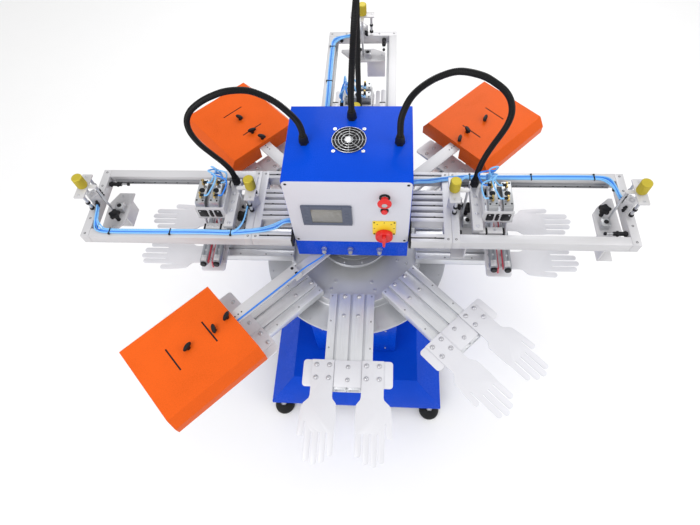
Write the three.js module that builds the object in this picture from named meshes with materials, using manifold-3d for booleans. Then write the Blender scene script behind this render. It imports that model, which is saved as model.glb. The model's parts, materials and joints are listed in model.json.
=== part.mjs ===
// Automatic rotary screen printing machine for gloves, in millimetres, +Z up.
// Eight pallet stations turn on an indexing table under three print heads and three flash dryers.
// The machine axis is vertical. Every head, dryer and station is drawn in its own radial frame:
// local X runs outward from the axis, local Y runs counter-clockwise, and the group is then turned.
import * as THREE from 'three';
import { mergeVertices } from 'three/addons/utils/BufferGeometryUtils.js';
import Module from 'manifold-3d';

const wasm = await Module();
wasm.setup();

// ---- driving dimensions -------------------------------------------------------------------------
const DEG = Math.PI / 180;
const GAP = 0.3;                    // clearance between touching pieces
const STATIONS = 8;
const STATION_STEP = 360 / STATIONS;
const HEADS = { right: 0, rear: 90, left: 180 };
const DRYERS = { rear_right: 45, rear_left: 135, front_left: 225 };

const BASE = { halfX: 408, halfY: 541, topHalfX: 289, topHalfY: 458, lip: 78, skirt: 100, top: 250, wall: 3 };
const FOOT = { x: 360, y: 530, radius: 48, height: 46, studRadius: 11, gusset: 8 };
const PEDESTAL = { halfX: 185, halfY: 320, top: 560, wall: 4 };
const DRIVE = { half: 95, bottom: 400, motorRadius: 62, motorLength: 150 };
const COLUMN = { radius: 60, capRadius: 152, capBottom: 764, capTop: 780 };
const BEARING = { inner: 92, outer: 150, bottom: 560, top: 632 };
const TABLE = { radius: 393.5, bore: 66, bottom: 632.3, top: 644.5, drumRadius: 285, drumTop: 699.7 };
const ARM = { start: 258, end: 648, halfWidth: 90, bottom: 700, top: 737.3 };
const GROOVE = { offsets: [-55, 0, 55], halfWidth: 5, depth: 12 };
const CROSS = { inner: 540, outer: 641, halfWidth: 167, bottom: 737.6, top: 745.3, corner: 12 };
const HAND = { centre: 93, start: 539, top: 750, fingerRound: 11 };

const CABINET = { halfX: 215, front: -136, back: 202, bottom: 838, top: 1300, wall: 3, panelBottom: 945 };
const PANEL = { halfX: 213, thickness: 3, corner: 14 };
const SCREEN = { left: -166, right: 11, bottom: 1064, top: 1176, depth: 9 };
const CONTROLS = { x: 124, stop: 1222, button: 1150, knob: 1006, plateHalf: 42, plateZ: 1043, plateThick: 3 };
// Each control is stacked outward from the panel: distances from the panel face to the far side of each step.
const STOP = { neckRadius: 12, neckIn: 6, neckOut: 21, headRadius: 24, headIn: 20, headOut: 34 };
const BUTTON = { radius: 11, inner: 4, outer: 12 };
const DIAL = { radius: 32, inner: 4, outer: 24, gripHalf: 6, gripOut: 36, gripDown: 42, gripUp: 24 };
const FAN = { y: 40, radius: 60, height: 5 };

const BEAM = { bottom: 946, top: 990.5, end: 344.7, halfWidths: 24, rows: [-53, 0, 53], flange: 10 };
const FRAME = { start: 345, end: 1042, halfWidth: 164, bottom: 946, top: 990.5 };
const OPENING = { start: 403, end: 1010, halfWidth: 128 };
const TRACK = { start: 425, end: 990, inner: 118, bottom: 956, top: 974 };
const CLAMP = {
  plateBottom: 1084, plateTop: 1090, plateHalf: 57, tongueHalf: 8, knobTop: 1142, knobRadius: 20,
  screwRadius: 6, screwBottom: 1052, blockTop: 1040, blockHalf: 19, rodAcross: 42, rodRadius: 6,
  capRadius: 9, capBottom: 1001, dropRadius: 6, shelfBottom: 896, shelfTop: 904, shelfHalf: 110,
  gripHalf: 17, gripAcross: -24, gripTop: 934, starAcross: 27, starRadius: 24, starBottom: 938, starTop: 952,
  stemRadius: 8, webThickness: 6, webBottom: 784, webBack: -20,
};
// Distances from the end of the frame opening, outward for the outer clamp and inward for the inner one.
const CLAMP_REACH = {
  outer: {
    knob: 20, block: 10, rods: 12, plateFar: 40, plateNear: 0, drop: -26,
    shelfNear: 20, shelfFar: -75, grip: -45, web: -44, foot: 16,
  },
  inner: {
    knob: 27, block: 17, rods: 19, plateFar: 47, plateNear: 7, drop: -22,
    shelfNear: 20, shelfFar: -75, grip: -41, web: -44, foot: 10,
  },
};
const CARRIAGE = {
  barStart: 450, barEnd: 487, halfBar: 114, barBottom: 968, barTop: 1000, shoeEnd: 598, shoeInner: 92,
  shoeOuter: 117.5, shoeBottom: 956, shoeTop: 984, glandU: 468.4, glandSide: 95.5, glandRear: -8,
  cheek: 62, cheekThick: 8, cheekBottom: 976, cheekTop: 1040,
};
const BLADE = {
  tilt: 9, reach: 178, holderHalf: 15, holderBottom: 16, inset: 6, rodRadius: 6, rodSpread: 34, bridge: 60,
};
const SQUEEGEE_U = 562;
const FLOOD_U = 616;
const BLADE_BOTTOM = 774;           // squeegee edge above the floor when raised
const CYLINDER = { width: 36, reach: 56, bottom: 190, top: 300 };

const HOOD = {
  start: 605, end: 990, topHalf: 162, halfWidth: 191, top: 880, shoulder: 838, bottom: 800, wall: 3,
};
const SPIDER = {
  bottom: 824, stepTop: 832, upperBottom: 850, top: 858, armHalf: 27, armStart: 100, riserStart: 300,
  riserEnd: 330, armEnd: 900, hubRadius: 130, postHalf: 12, postStart: 665, postEnd: 880,
};
const HOSE = { radius: 11, sides: 8, steps: 20, glandTop: 12, glandFoot: 14, glandHeight: 34 };
const GLANDS = { right: [171, 28], left: [-152, 29], rear: [5, 143] };

// The origin is the middle of the whole footprint, on the floor, so the machine axis lies behind it.
const FRONT_REACH = 912;            // middle finger tips of the front station
const BACK_REACH = 1050;            // outer clamp plate of the rear head
const AXIS_Y = (FRONT_REACH - BACK_REACH) / 2;

// Flat faces left in pieces by a join or cut are merged again when they lie this close together.
const SIMPLIFY = 0.02;

// ---- finishes -----------------------------------------------------------------------------------
const finish = (color, roughness, metalness) => (
  new THREE.MeshStandardMaterial({ color, roughness, metalness })
);
const bluePaint = () => finish(0x1650dc, 0.3, 0.1);
const orangePaint = () => finish(0xf06e28, 0.35, 0.1);
const greyPaint = () => finish(0xdcdce6, 0.4, 0.1);
const whiteRail = () => finish(0xe6e6ea, 0.35, 0.4);
const brushedAluminium = () => finish(0xb4b8be, 0.4, 0.9);
const palletPlate = () => finish(0xe4e4eb, 0.5, 0.2);
const castGrey = () => finish(0x8c9096, 0.5, 0.7);
const blackRubber = () => finish(0x141416, 0.7, 0);
const redPlastic = () => finish(0xd82020, 0.4, 0);
const steel = () => finish(0xb0b4ba, 0.3, 0.95);
const polyurethane = () => finish(0xc84658, 0.45, 0);

// ---- geometry helpers ---------------------------------------------------------------------------
function box(x0, x1, y0, y1, z0, z1) {
  const geometry = new THREE.BoxGeometry(x1 - x0, y1 - y0, z1 - z0);
  return geometry.translate((x0 + x1) / 2, (y0 + y1) / 2, (z0 + z1) / 2);
}

function rod(x, y, z0, z1, radius, sides = 8) {
  const geometry = new THREE.CylinderGeometry(radius, radius, z1 - z0, sides);
  return geometry.rotateX(Math.PI / 2).translate(x, y, (z0 + z1) / 2);
}

function rodAlongY(x, z, y0, y1, radius, sides = 12) {
  return new THREE.CylinderGeometry(radius, radius, y1 - y0, sides).translate(x, (y0 + y1) / 2, z);
}

function plate(shape, z0, z1, curveSegments = 1) {
  const options = { depth: z1 - z0, bevelEnabled: false, curveSegments };
  return new THREE.ExtrudeGeometry(shape, options).translate(0, 0, z0);
}

function roundedRectangle(x0, x1, y0, y1, corner) {
  const shape = new THREE.Shape();
  shape.moveTo(x0 + corner, y0);
  shape.lineTo(x1 - corner, y0);
  shape.absarc(x1 - corner, y0 + corner, corner, -Math.PI / 2, 0);
  shape.lineTo(x1, y1 - corner);
  shape.absarc(x1 - corner, y1 - corner, corner, 0, Math.PI / 2);
  shape.lineTo(x0 + corner, y1);
  shape.absarc(x0 + corner, y1 - corner, corner, Math.PI / 2, Math.PI);
  shape.lineTo(x0, y0 + corner);
  shape.absarc(x0 + corner, y0 + corner, corner, Math.PI, 1.5 * Math.PI);
  return shape;
}

// A ring or disc turned about the vertical axis; points are [radius, height], counter-clockwise.
function turned(points, sides = 32) {
  const profile = points.map(([r, z]) => new THREE.Vector2(r, z));
  return new THREE.LatheGeometry(profile, sides).rotateX(Math.PI / 2);
}

// An outline drawn as (across, up) and drawn out along local X.
function profileAlongX(shape, x0, x1) {
  const geometry = new THREE.ExtrudeGeometry(shape, { depth: x1 - x0, bevelEnabled: false, curveSegments: 4 });
  const across = new THREE.Vector3(0, 1, 0);
  const up = new THREE.Vector3(0, 0, 1);
  const along = new THREE.Vector3(1, 0, 0);
  geometry.applyMatrix4(new THREE.Matrix4().makeBasis(across, up, along));
  return geometry.translate(x0, 0, 0);
}

function polygon(points) {
  return new THREE.Shape(points.map(([x, y]) => new THREE.Vector2(x, y)));
}

function frustum(halfX, halfY, z0, topHalfX, topHalfY, z1) {
  const geometry = box(-halfX, halfX, -halfY, halfY, z0, z1);
  const position = geometry.attributes.position;
  const middle = (z0 + z1) / 2;
  for (let i = 0; i < position.count; i += 1) {
    if (position.getZ(i) > middle) {
      position.setX(i, Math.sign(position.getX(i)) * topHalfX);
      position.setY(i, Math.sign(position.getY(i)) * topHalfY);
    }
  }
  return geometry;
}

function toSolid(geometry) {
  const bare = geometry.clone();
  bare.deleteAttribute('normal');
  bare.deleteAttribute('uv');
  const merged = mergeVertices(bare, 1e-4);
  const vertProperties = new Float32Array(merged.attributes.position.array);
  const triVerts = new Uint32Array(merged.index.array);
  return new wasm.Manifold(new wasm.Mesh({ numProp: 3, vertProperties, triVerts }));
}

function toGeometry(solid) {
  const mesh = solid.asOriginal().simplify(SIMPLIFY).getMesh();
  const geometry = new THREE.BufferGeometry();
  geometry.setAttribute('position', new THREE.BufferAttribute(new Float32Array(mesh.vertProperties), 3));
  geometry.setIndex(new THREE.BufferAttribute(new Uint32Array(mesh.triVerts), 1));
  return geometry;
}

function join(...pieces) {
  const solids = pieces.map(toSolid);
  return toGeometry(solids.reduce((sum, next) => sum.add(next)));
}

function cut(body, ...tools) {
  const solids = tools.map(toSolid);
  return toGeometry(solids.reduce((rest, next) => rest.subtract(next), toSolid(body)));
}

function tubeAlong(points, radius, sides, steps) {
  const section = new THREE.Shape();
  for (let i = 0; i < sides; i += 1) {
    const angle = (2 * Math.PI * i) / sides;
    const x = radius * Math.cos(angle);
    const y = radius * Math.sin(angle);
    if (i === 0) section.moveTo(x, y);
    else section.lineTo(x, y);
  }
  section.closePath();
  const path = new THREE.CatmullRomCurve3(points.map((p) => new THREE.Vector3(...p)));
  return new THREE.ExtrudeGeometry(section, { steps, bevelEnabled: false, extrudePath: path });
}

function add(parent, name, geometry, material) {
  const mesh = new THREE.Mesh(geometry, material);
  mesh.name = name;
  parent.add(mesh);
  return mesh;
}

function radialGroup(parent, degrees) {
  const group = new THREE.Group();
  group.rotation.z = degrees * DEG;
  parent.add(group);
  return group;
}

// ---- stand --------------------------------------------------------------------------------------
function buildStand(parent) {
  const { halfX, halfY, topHalfX, topHalfY, lip, skirt, top, wall } = BASE;
  const outside = join(
    box(-halfX, halfX, -halfY, halfY, lip, skirt + 1),
    frustum(halfX, halfY, skirt, topHalfX, topHalfY, top),
  );
  const inside = [
    box(-halfX + wall, halfX - wall, -halfY + wall, halfY - wall, lip - 1, skirt),
    frustum(halfX - wall, halfY - wall, skirt - 1, topHalfX - wall, topHalfY - wall, top - wall),
  ];
  const gussetSize = FOOT.radius + 24;
  const gussets = [];
  for (const sx of [-1, 1]) {
    for (const sy of [-1, 1]) {
      const x = [sx * (halfX - 1), sx * (halfX - gussetSize - 20)].sort((a, b) => a - b);
      const y = [sy * (halfY - 1), sy * (halfY - gussetSize)].sort((a, b) => a - b);
      gussets.push(box(x[0], x[1], y[0], y[1], lip, lip + FOOT.gusset));
    }
  }
  add(parent, 'base_housing', join(cut(outside, ...inside), ...gussets), bluePaint());

  const footProfile = [
    [0, 0], [FOOT.radius * 0.8, 0], [FOOT.radius, 10], [FOOT.radius, 20], [FOOT.radius * 0.8, 38],
    [FOOT.studRadius + 6, FOOT.height], [FOOT.studRadius, FOOT.height], [FOOT.studRadius, lip - GAP],
    [0, lip - GAP],
  ];
  const places = { front_left: [-1, -1], front_right: [1, -1], rear_left: [-1, 1], rear_right: [1, 1] };
  for (const [place, [sx, sy]] of Object.entries(places)) {
    const foot = add(parent, `levelling_foot_${place}`, turned(footProfile, 12), blackRubber());
    foot.position.set(sx * FOOT.x, sy * FOOT.y, 0);
  }

  const p = PEDESTAL;
  const shell = box(-p.halfX, p.halfX, -p.halfY, p.halfY, top + GAP, p.top);
  const innerX = p.halfX - p.wall;
  const innerY = p.halfY - p.wall;
  const hollow = box(-innerX, innerX, -innerY, innerY, top, p.top - p.wall);
  add(parent, 'pedestal', cut(shell, hollow), bluePaint());

  const driveTop = p.top - p.wall - GAP;
  const gearbox = box(-DRIVE.half, DRIVE.half, -DRIVE.half, DRIVE.half, DRIVE.bottom, driveTop);
  const motor = rodAlongY(0, (DRIVE.bottom + driveTop) / 2, DRIVE.half - 1, DRIVE.half + DRIVE.motorLength,
    DRIVE.motorRadius, 12);
  add(parent, 'index_drive', join(gearbox, motor), castGrey());

  add(parent, 'slewing_bearing', turned([
    [BEARING.inner, p.top + GAP], [BEARING.outer, p.top + GAP], [BEARING.outer, BEARING.top - GAP],
    [BEARING.inner, BEARING.top - GAP], [BEARING.inner, p.top + GAP],
  ], 24), steel());

  add(parent, 'centre_column', turned([
    [0, p.top + GAP], [COLUMN.radius, p.top + GAP], [COLUMN.radius, COLUMN.capBottom],
    [COLUMN.capRadius, COLUMN.capBottom], [COLUMN.capRadius, COLUMN.capTop], [COLUMN.radius, COLUMN.capTop],
    [COLUMN.radius, SPIDER.bottom - GAP], [0, SPIDER.bottom - GAP],
  ], 24), castGrey());
}

// ---- turntable ----------------------------------------------------------------------------------
// One finger: its outline from root to root, with a half-round tip.
function finger(shape, root, tip, left, right) {
  const radius = (right - left) / 2;
  shape.lineTo(root, left);
  shape.lineTo(tip - radius, left);
  shape.absarc(tip - radius, left + radius, radius, -Math.PI / 2, Math.PI / 2);
  shape.lineTo(root, right);
}

// A hand-shaped pallet lying along local X; the thumb is on the negative side.
function handShape() {
  const wrist = 41;
  const shape = new THREE.Shape();
  shape.moveTo(HAND.start, -wrist);
  shape.lineTo(687, -wrist);
  shape.lineTo(708, -66);
  shape.lineTo(767, -72);
  shape.lineTo(808, -75);
  shape.absarc(808, -63.5, HAND.fingerRound, -Math.PI / 2, Math.PI / 2);
  shape.lineTo(767, -52);
  shape.lineTo(767, -47);
  finger(shape, 804, 900, -47, -25);
  finger(shape, 804, 912, -21, 1);
  finger(shape, 804, 904, 6, 28);
  finger(shape, 804, 882, 34, 55);
  shape.lineTo(780, 58);
  shape.lineTo(708, 58);
  shape.lineTo(687, wrist);
  shape.lineTo(HAND.start, wrist);
  return shape;
}

function handPallet(side) {
  const geometry = plate(handShape(), CROSS.top - GAP, HAND.top, 2);
  if (side > 0) geometry.rotateX(Math.PI).translate(0, 0, CROSS.top - GAP + HAND.top);
  return geometry.translate(0, side * HAND.centre, 0);
}

function armProfile() {
  const { halfWidth, bottom, top } = ARM;
  const points = [[-halfWidth, bottom], [halfWidth, bottom], [halfWidth, top]];
  for (const offset of [...GROOVE.offsets].reverse()) {
    points.push([offset + GROOVE.halfWidth, top], [offset + GROOVE.halfWidth, top - GROOVE.depth]);
    points.push([offset - GROOVE.halfWidth, top - GROOVE.depth], [offset - GROOVE.halfWidth, top]);
  }
  points.push([-halfWidth, top]);
  return polygon(points);
}

function buildTurntable(parent) {
  const t = TABLE;
  add(parent, 'turntable_disc', turned([
    [t.bore, t.bottom], [t.radius, t.bottom], [t.radius, t.top], [t.drumRadius, t.top],
    [t.drumRadius, t.drumTop], [t.bore, t.drumTop], [t.bore, t.bottom],
  ], 40), castGrey());
  for (let i = 0; i < STATIONS; i += 1) {
    const station = radialGroup(parent, i * STATION_STEP);
    add(station, `station_arm_${i + 1}`, profileAlongX(armProfile(), ARM.start, ARM.end), brushedAluminium());
    const cross = plate(
      roundedRectangle(CROSS.inner, CROSS.outer, -CROSS.halfWidth, CROSS.halfWidth, CROSS.corner),
      CROSS.bottom, CROSS.top,
    );
    add(station, `glove_pallet_${i + 1}`, join(cross, handPallet(-1), handPallet(1)), palletPlate());
  }
}

// ---- control cabinet ----------------------------------------------------------------------------
// A flat panel in the XZ plane whose outer face looks along -Y.
function uprightPlate(shape, front, thickness, curveSegments = 2) {
  const geometry = new THREE.ExtrudeGeometry(shape, { depth: thickness, bevelEnabled: false, curveSegments });
  return geometry.rotateX(Math.PI / 2).translate(0, front + thickness, 0);
}

function gland(x, y, z) {
  const cone = new THREE.CylinderGeometry(HOSE.glandTop, HOSE.glandFoot, HOSE.glandHeight, 10);
  return cone.rotateX(Math.PI / 2).translate(x, y, z + HOSE.glandHeight / 2 - 1);
}

function buildCabinet(parent) {
  const c = CABINET;
  const outside = box(-c.halfX, c.halfX, c.front, c.back, c.bottom, c.top);
  const innerX = c.halfX - c.wall;
  const innerBack = c.back - c.wall;
  const upper = box(-innerX, innerX, c.front - 10, innerBack, c.panelBottom + 10, c.top - c.wall);
  const lower = box(-innerX, innerX, c.front + c.wall, innerBack, c.bottom + c.wall, c.panelBottom + 20);
  const shell = cut(outside, upper, lower);
  const glands = Object.values(GLANDS).map(([x, y]) => gland(x, y, c.top));
  add(parent, 'cabinet_shell', join(shell, ...glands), bluePaint());

  const panelFront = c.front - GAP - PANEL.thickness;
  const panelShape = roundedRectangle(-PANEL.halfX, PANEL.halfX, c.panelBottom, c.top - 2, PANEL.corner);
  add(parent, 'front_panel', uprightPlate(panelShape, panelFront, PANEL.thickness), greyPaint());

  const s = SCREEN;
  const screenShape = roundedRectangle(s.left, s.right, s.bottom, s.top, 6);
  add(parent, 'touch_panel', uprightPlate(screenShape, panelFront - GAP - s.depth, s.depth), castGrey());

  const face = panelFront - GAP;
  const { x } = CONTROLS;
  const stopHead = rodAlongY(x, CONTROLS.stop, face - STOP.headOut, face - STOP.headIn, STOP.headRadius, 16);
  const stopNeck = rodAlongY(x, CONTROLS.stop, face - STOP.neckOut, face - STOP.neckIn, STOP.neckRadius, 10);
  add(parent, 'emergency_stop', join(stopHead, stopNeck), redPlastic());

  const cap = rodAlongY(x, CONTROLS.button, face - BUTTON.outer, face - BUTTON.inner, BUTTON.radius, 12);
  add(parent, 'start_button', cap, redPlastic());

  const half = CONTROLS.plateHalf;
  const square = roundedRectangle(x - half, x + half, CONTROLS.plateZ - half, CONTROLS.plateZ + half, 5);
  const label = uprightPlate(square, face - CONTROLS.plateThick, CONTROLS.plateThick);
  add(parent, 'switch_plate', label, finish(0xf0cc20, 0.4, 0));
  const d = DIAL;
  const dial = rodAlongY(x, CONTROLS.knob, face - d.outer, face - d.inner, d.radius, 16);
  const grip = box(x - d.gripHalf, x + d.gripHalf, face - d.gripOut, face - d.outer + 1,
    CONTROLS.knob - d.gripDown, CONTROLS.knob + d.gripUp);
  add(parent, 'main_switch', join(dial, grip), redPlastic());

  const ring = turned([
    [FAN.radius - 5, c.top + GAP], [FAN.radius, c.top + GAP], [FAN.radius, c.top + FAN.height],
    [FAN.radius - 5, c.top + FAN.height], [FAN.radius - 5, c.top + GAP],
  ], 20).translate(0, FAN.y, 0);
  const span = FAN.radius - 2;
  const fanTop = c.top + FAN.height;
  const spoke = box(-span, span, FAN.y - 3, FAN.y + 3, c.top + GAP, fanTop);
  const crossSpoke = box(-3, 3, FAN.y - span, FAN.y + span, c.top + GAP, fanTop);
  add(parent, 'fan_guard', join(ring, spoke, crossSpoke), steel());
}

// ---- print heads --------------------------------------------------------------------------------
// The beams and the rectangular rail frame are bolted into one rigid bridge.
function headFrame(beamStart) {
  const f = FRAME;
  const o = OPENING;
  const b = BEAM;
  const ring = cut(
    box(f.start, f.end, -f.halfWidth, f.halfWidth, f.bottom, f.top),
    box(o.start, o.end, -o.halfWidth, o.halfWidth, f.bottom - 1, f.top + 1),
  );
  const railCentre = (f.halfWidth + o.halfWidth) / 2;
  const railHalf = (f.halfWidth - o.halfWidth) / 2;
  const beams = b.rows.map((y) => (
    box(beamStart, f.start + 1, y - b.halfWidths, y + b.halfWidths, b.bottom, b.top)
  ));
  for (const side of [-1, 1]) {
    const y = side * railCentre;
    beams.push(box(beamStart, f.start + 1, y - railHalf, y + railHalf, b.bottom, b.top));
  }
  const flange = box(beamStart, beamStart + b.flange, -f.halfWidth, f.halfWidth, b.bottom - 4, b.top);
  const tracks = [-1, 1].map((side) => {
    const y = [side * TRACK.inner, side * (o.halfWidth + 1)].sort((p, q) => p - q);
    return box(TRACK.start, TRACK.end, y[0], y[1], TRACK.bottom, TRACK.top);
  });
  const middles = [o.end + CLAMP_REACH.outer.block, o.start - CLAMP_REACH.inner.block];
  const half = CLAMP.blockHalf;
  const blocks = middles.map((middle) => (
    box(-half, half, -half, half, f.top - 1, CLAMP.blockTop).rotateZ(45 * DEG).translate(middle, 0, 0)
  ));
  return join(ring, ...beams, flange, ...tracks, ...blocks);
}

// A screen clamp: a plate with its knurled knob and screw, two guide rods with end caps, and a drop rod to
// the shelf with the grip, the star knob, a web and a foot. direction is 1 outside the bay, -1 inside it.
function screenClamp(edge, direction, reach) {
  const c = CLAMP;
  const at = (offset) => edge + direction * offset;
  const slab = (near, far, y0, y1, z0, z1) => box(
    Math.min(at(near), at(far)), Math.max(at(near), at(far)), y0, y1, z0, z1,
  );
  const { gripHalf, gripAcross } = c;
  const pieces = [
    slab(reach.plateNear, reach.plateFar, -c.plateHalf, c.plateHalf, c.plateBottom, c.plateTop),
    slab(reach.drop, reach.plateNear + 1, -c.tongueHalf, c.tongueHalf, c.plateBottom, c.plateTop),
    rod(at(reach.knob), 0, c.plateTop - 1, c.knobTop, c.knobRadius, 12),
    rod(at(reach.knob), 0, c.screwBottom, c.plateBottom + 1, c.screwRadius, 6),
    rod(at(reach.drop), 0, c.shelfBottom + 1, c.plateBottom + 1, c.dropRadius, 8),
    slab(reach.shelfNear, reach.shelfFar, -c.shelfHalf, c.shelfHalf, c.shelfBottom, c.shelfTop),
    slab(reach.web, reach.web + c.webThickness, -c.shelfHalf, c.webBack, c.webBottom, c.shelfBottom + 1),
    slab(reach.web + 1, reach.foot, -c.shelfHalf, c.webBack, c.webBottom, c.webBottom + c.webThickness),
    box(at(reach.grip) - gripHalf, at(reach.grip) + gripHalf, gripAcross - gripHalf, gripAcross + gripHalf,
      c.shelfTop - 1, c.gripTop),
    rod(at(reach.grip), c.starAcross, c.shelfTop - 1, c.starBottom + 1, c.stemRadius, 8),
    rod(at(reach.grip), c.starAcross, c.starBottom, c.starTop, c.starRadius, 10),
  ];
  for (const y of [-c.rodAcross, c.rodAcross]) {
    pieces.push(rod(at(reach.rods), y, c.capBottom + 5, c.plateBottom + 1, c.rodRadius, 6));
    pieces.push(rod(at(reach.rods), y, c.capBottom, c.capBottom + 12, c.capRadius, 8));
  }
  return join(...pieces);
}

function carriage() {
  const c = CARRIAGE;
  const pieces = [box(c.barStart, c.barEnd, -c.halfBar, c.halfBar, c.barBottom, c.barTop)];
  for (const side of [-1, 1]) {
    const y = [side * c.shoeInner, side * c.shoeOuter].sort((p, q) => p - q);
    pieces.push(box(c.barEnd - 12, c.shoeEnd, y[0], y[1], c.shoeBottom, c.shoeTop));
    const cheekY = [side * c.cheek, side * (c.cheek - c.cheekThick)].sort((p, q) => p - q);
    pieces.push(box(c.barEnd - 6, c.shoeEnd, cheekY[0], cheekY[1], c.cheekBottom, c.cheekTop));
  }
  pieces.push(box(c.barEnd - 3, c.barEnd + 4, -c.cheek, c.cheek, c.cheekBottom, c.cheekTop));
  return pieces;
}

// The squeegee and the flood bar hang on guide rods from tilted air cylinders.
// This frame has its origin at the foot of the cylinder's centre line, with Z up along the cylinder.
function tilted(geometry, u) {
  return geometry.rotateY(-BLADE.tilt * DEG).translate(u, 0, BLADE_BOTTOM);
}

function cylinderBody(u) {
  const k = CYLINDER;
  return tilted(box(-k.width / 2, k.width / 2, -k.reach, k.reach, k.bottom, k.top), u);
}

function cylinderBores(u) {
  const k = CYLINDER;
  return [-1, 1].map((side) => tilted(rod(0, side * BLADE.rodSpread, k.bottom - 5, k.bottom + 50,
    BLADE.rodRadius + 1, 8), u));
}

function squeegee() {
  const b = BLADE;
  const holder = box(-b.holderHalf, b.holderHalf, -b.reach, b.reach, b.holderBottom, 48);
  const blade = box(4, 12, -b.reach + b.inset, b.reach - b.inset, 0, b.holderBottom + 1);
  const bridge = box(-10, 10, -b.bridge, b.bridge, 47, 70);
  const rods = [-1, 1].map((side) => rod(0, side * b.rodSpread, 69, CYLINDER.bottom + 34, b.rodRadius, 8));
  return tilted(join(holder, blade, bridge, ...rods), SQUEEGEE_U);
}

function floodBar() {
  const b = BLADE;
  const holder = box(-b.holderHalf, b.holderHalf, -b.reach, b.reach, b.holderBottom, 42);
  const blade = box(-2, 2, -b.reach + b.inset, b.reach - b.inset, 4, b.holderBottom + 1);
  const bridge = box(-10, 10, -b.bridge, b.bridge, 41, 64);
  const rods = [-1, 1].map((side) => rod(0, side * b.rodSpread, 63, CYLINDER.bottom + 34, b.rodRadius, 8));
  return tilted(join(holder, blade, bridge, ...rods), FLOOD_U);
}

function buildHead(parent, name, degrees) {
  const head = radialGroup(parent, degrees);
  const beamStart = name === 'rear' ? CABINET.back + GAP : CABINET.halfX + GAP;
  add(head, `head_frame_${name}`, headFrame(beamStart), whiteRail());
  const outerClamp = screenClamp(OPENING.end, 1, CLAMP_REACH.outer);
  const innerClamp = screenClamp(OPENING.start, -1, CLAMP_REACH.inner);
  add(head, `screen_clamp_outer_${name}`, outerClamp, brushedAluminium());
  add(head, `screen_clamp_inner_${name}`, innerClamp, brushedAluminium());

  const glandSide = name === 'left' ? -1 : 1;
  const glandAcross = name === 'rear' ? CARRIAGE.glandRear : CARRIAGE.glandSide * glandSide;
  const body = join(...carriage(), cylinderBody(SQUEEGEE_U), cylinderBody(FLOOD_U),
    gland(CARRIAGE.glandU, glandAcross, CARRIAGE.barTop));
  const carriageBody = cut(body, ...cylinderBores(SQUEEGEE_U), ...cylinderBores(FLOOD_U));
  add(head, `carriage_${name}`, carriageBody, brushedAluminium());
  add(head, `squeegee_${name}`, squeegee(), polyurethane());
  add(head, `flood_bar_${name}`, floodBar(), brushedAluminium());
}

// ---- flash dryers -------------------------------------------------------------------------------
function hood() {
  const h = HOOD;
  const section = (inset) => polygon([
    [-h.halfWidth + inset, h.bottom - (inset ? 1 : 0)], [h.halfWidth - inset, h.bottom - (inset ? 1 : 0)],
    [h.halfWidth - inset, h.shoulder - inset / 2], [h.topHalf - inset / 2, h.top - inset],
    [-h.topHalf + inset / 2, h.top - inset], [-h.halfWidth + inset, h.shoulder - inset / 2],
  ]);
  const notch = box(h.start - 1, h.start + h.wall + 1, -SPIDER.armHalf - 1, SPIDER.armHalf + 1,
    h.bottom - 1, SPIDER.top + 1);
  return cut(
    profileAlongX(section(0), h.start, h.end),
    profileAlongX(section(h.wall), h.start + h.wall, h.end - h.wall),
    notch,
  );
}

// Three flat support arms on one hub plate under the cabinet carry the hoods. Each arm steps up on a riser
// just outside the cabinet.
function dryerSpider() {
  const s = SPIDER;
  const pieces = [rod(0, 0, s.bottom, CABINET.bottom - GAP, s.hubRadius, 20)];
  for (const degrees of Object.values(DRYERS)) {
    const lower = box(s.armStart, s.riserEnd, -s.armHalf, s.armHalf, s.bottom, s.stepTop);
    const riser = box(s.riserStart, s.riserEnd, -s.armHalf, s.armHalf, s.stepTop - 1, s.upperBottom + 1);
    const upper = box(s.riserStart, s.armEnd, -s.armHalf, s.armHalf, s.upperBottom, s.top);
    const post = box(s.postStart, s.postEnd, -s.postHalf, s.postHalf, s.top - 1, HOOD.top - HOOD.wall - GAP);
    for (const piece of [lower, riser, upper, post]) pieces.push(piece.rotateZ(degrees * DEG));
  }
  return join(...pieces);
}

function buildDryers(parent) {
  add(parent, 'dryer_support_spider', dryerSpider(), whiteRail());
  for (const [name, degrees] of Object.entries(DRYERS)) {
    add(radialGroup(parent, degrees), `dryer_hood_${name}`, hood(), orangePaint());
  }
}

// ---- corrugated cable conduits, held at both ends -----------------------------------------------
const HOSE_ROUTES = {
  right: [
    [171, 28, 1335], [171, 28, 1404], [184, 31, 1458], [203, 35, 1497], [234, 43, 1527], [278, 53, 1550],
    [335, 66, 1557], [405, 80, 1530], [454, 92, 1491], [492, 100, 1452], [519, 106, 1406], [532, 108, 1357],
    [530, 108, 1308], [517, 106, 1260], [496, 102, 1202], [479, 98, 1143], [470, 96, 1085], [468, 96, 1036],
  ],
  left: [
    [-152, 29, 1335], [-153, 29, 1362], [-161, 31, 1392], [-181, 35, 1422], [-220, 44, 1460],
    [-267, 53, 1485], [-315, 64, 1492], [-382, 78, 1476], [-442, 90, 1445], [-494, 100, 1409],
    [-543, 110, 1362], [-573, 116, 1310], [-579, 117, 1255], [-560, 112, 1201], [-526, 106, 1154],
    [-494, 100, 1114], [-474, 97, 1073], [-468, 96, 1036],
  ],
  rear: [
    [5, 143, 1335], [6, 144, 1400], [11, 150, 1470], [16, 172, 1540], [20, 215, 1588], [22, 278, 1607],
    [21, 345, 1597], [18, 405, 1560], [15, 448, 1495], [12, 472, 1410], [10, 481, 1310], [8, 479, 1210],
    [8, 471, 1110], [8, 468, 1036],
  ],
};

function buildHoses(parent) {
  for (const [name, route] of Object.entries(HOSE_ROUTES)) {
    add(parent, `conduit_${name}`, tubeAlong(route, HOSE.radius, HOSE.sides, HOSE.steps), blackRubber());
  }
}

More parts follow.
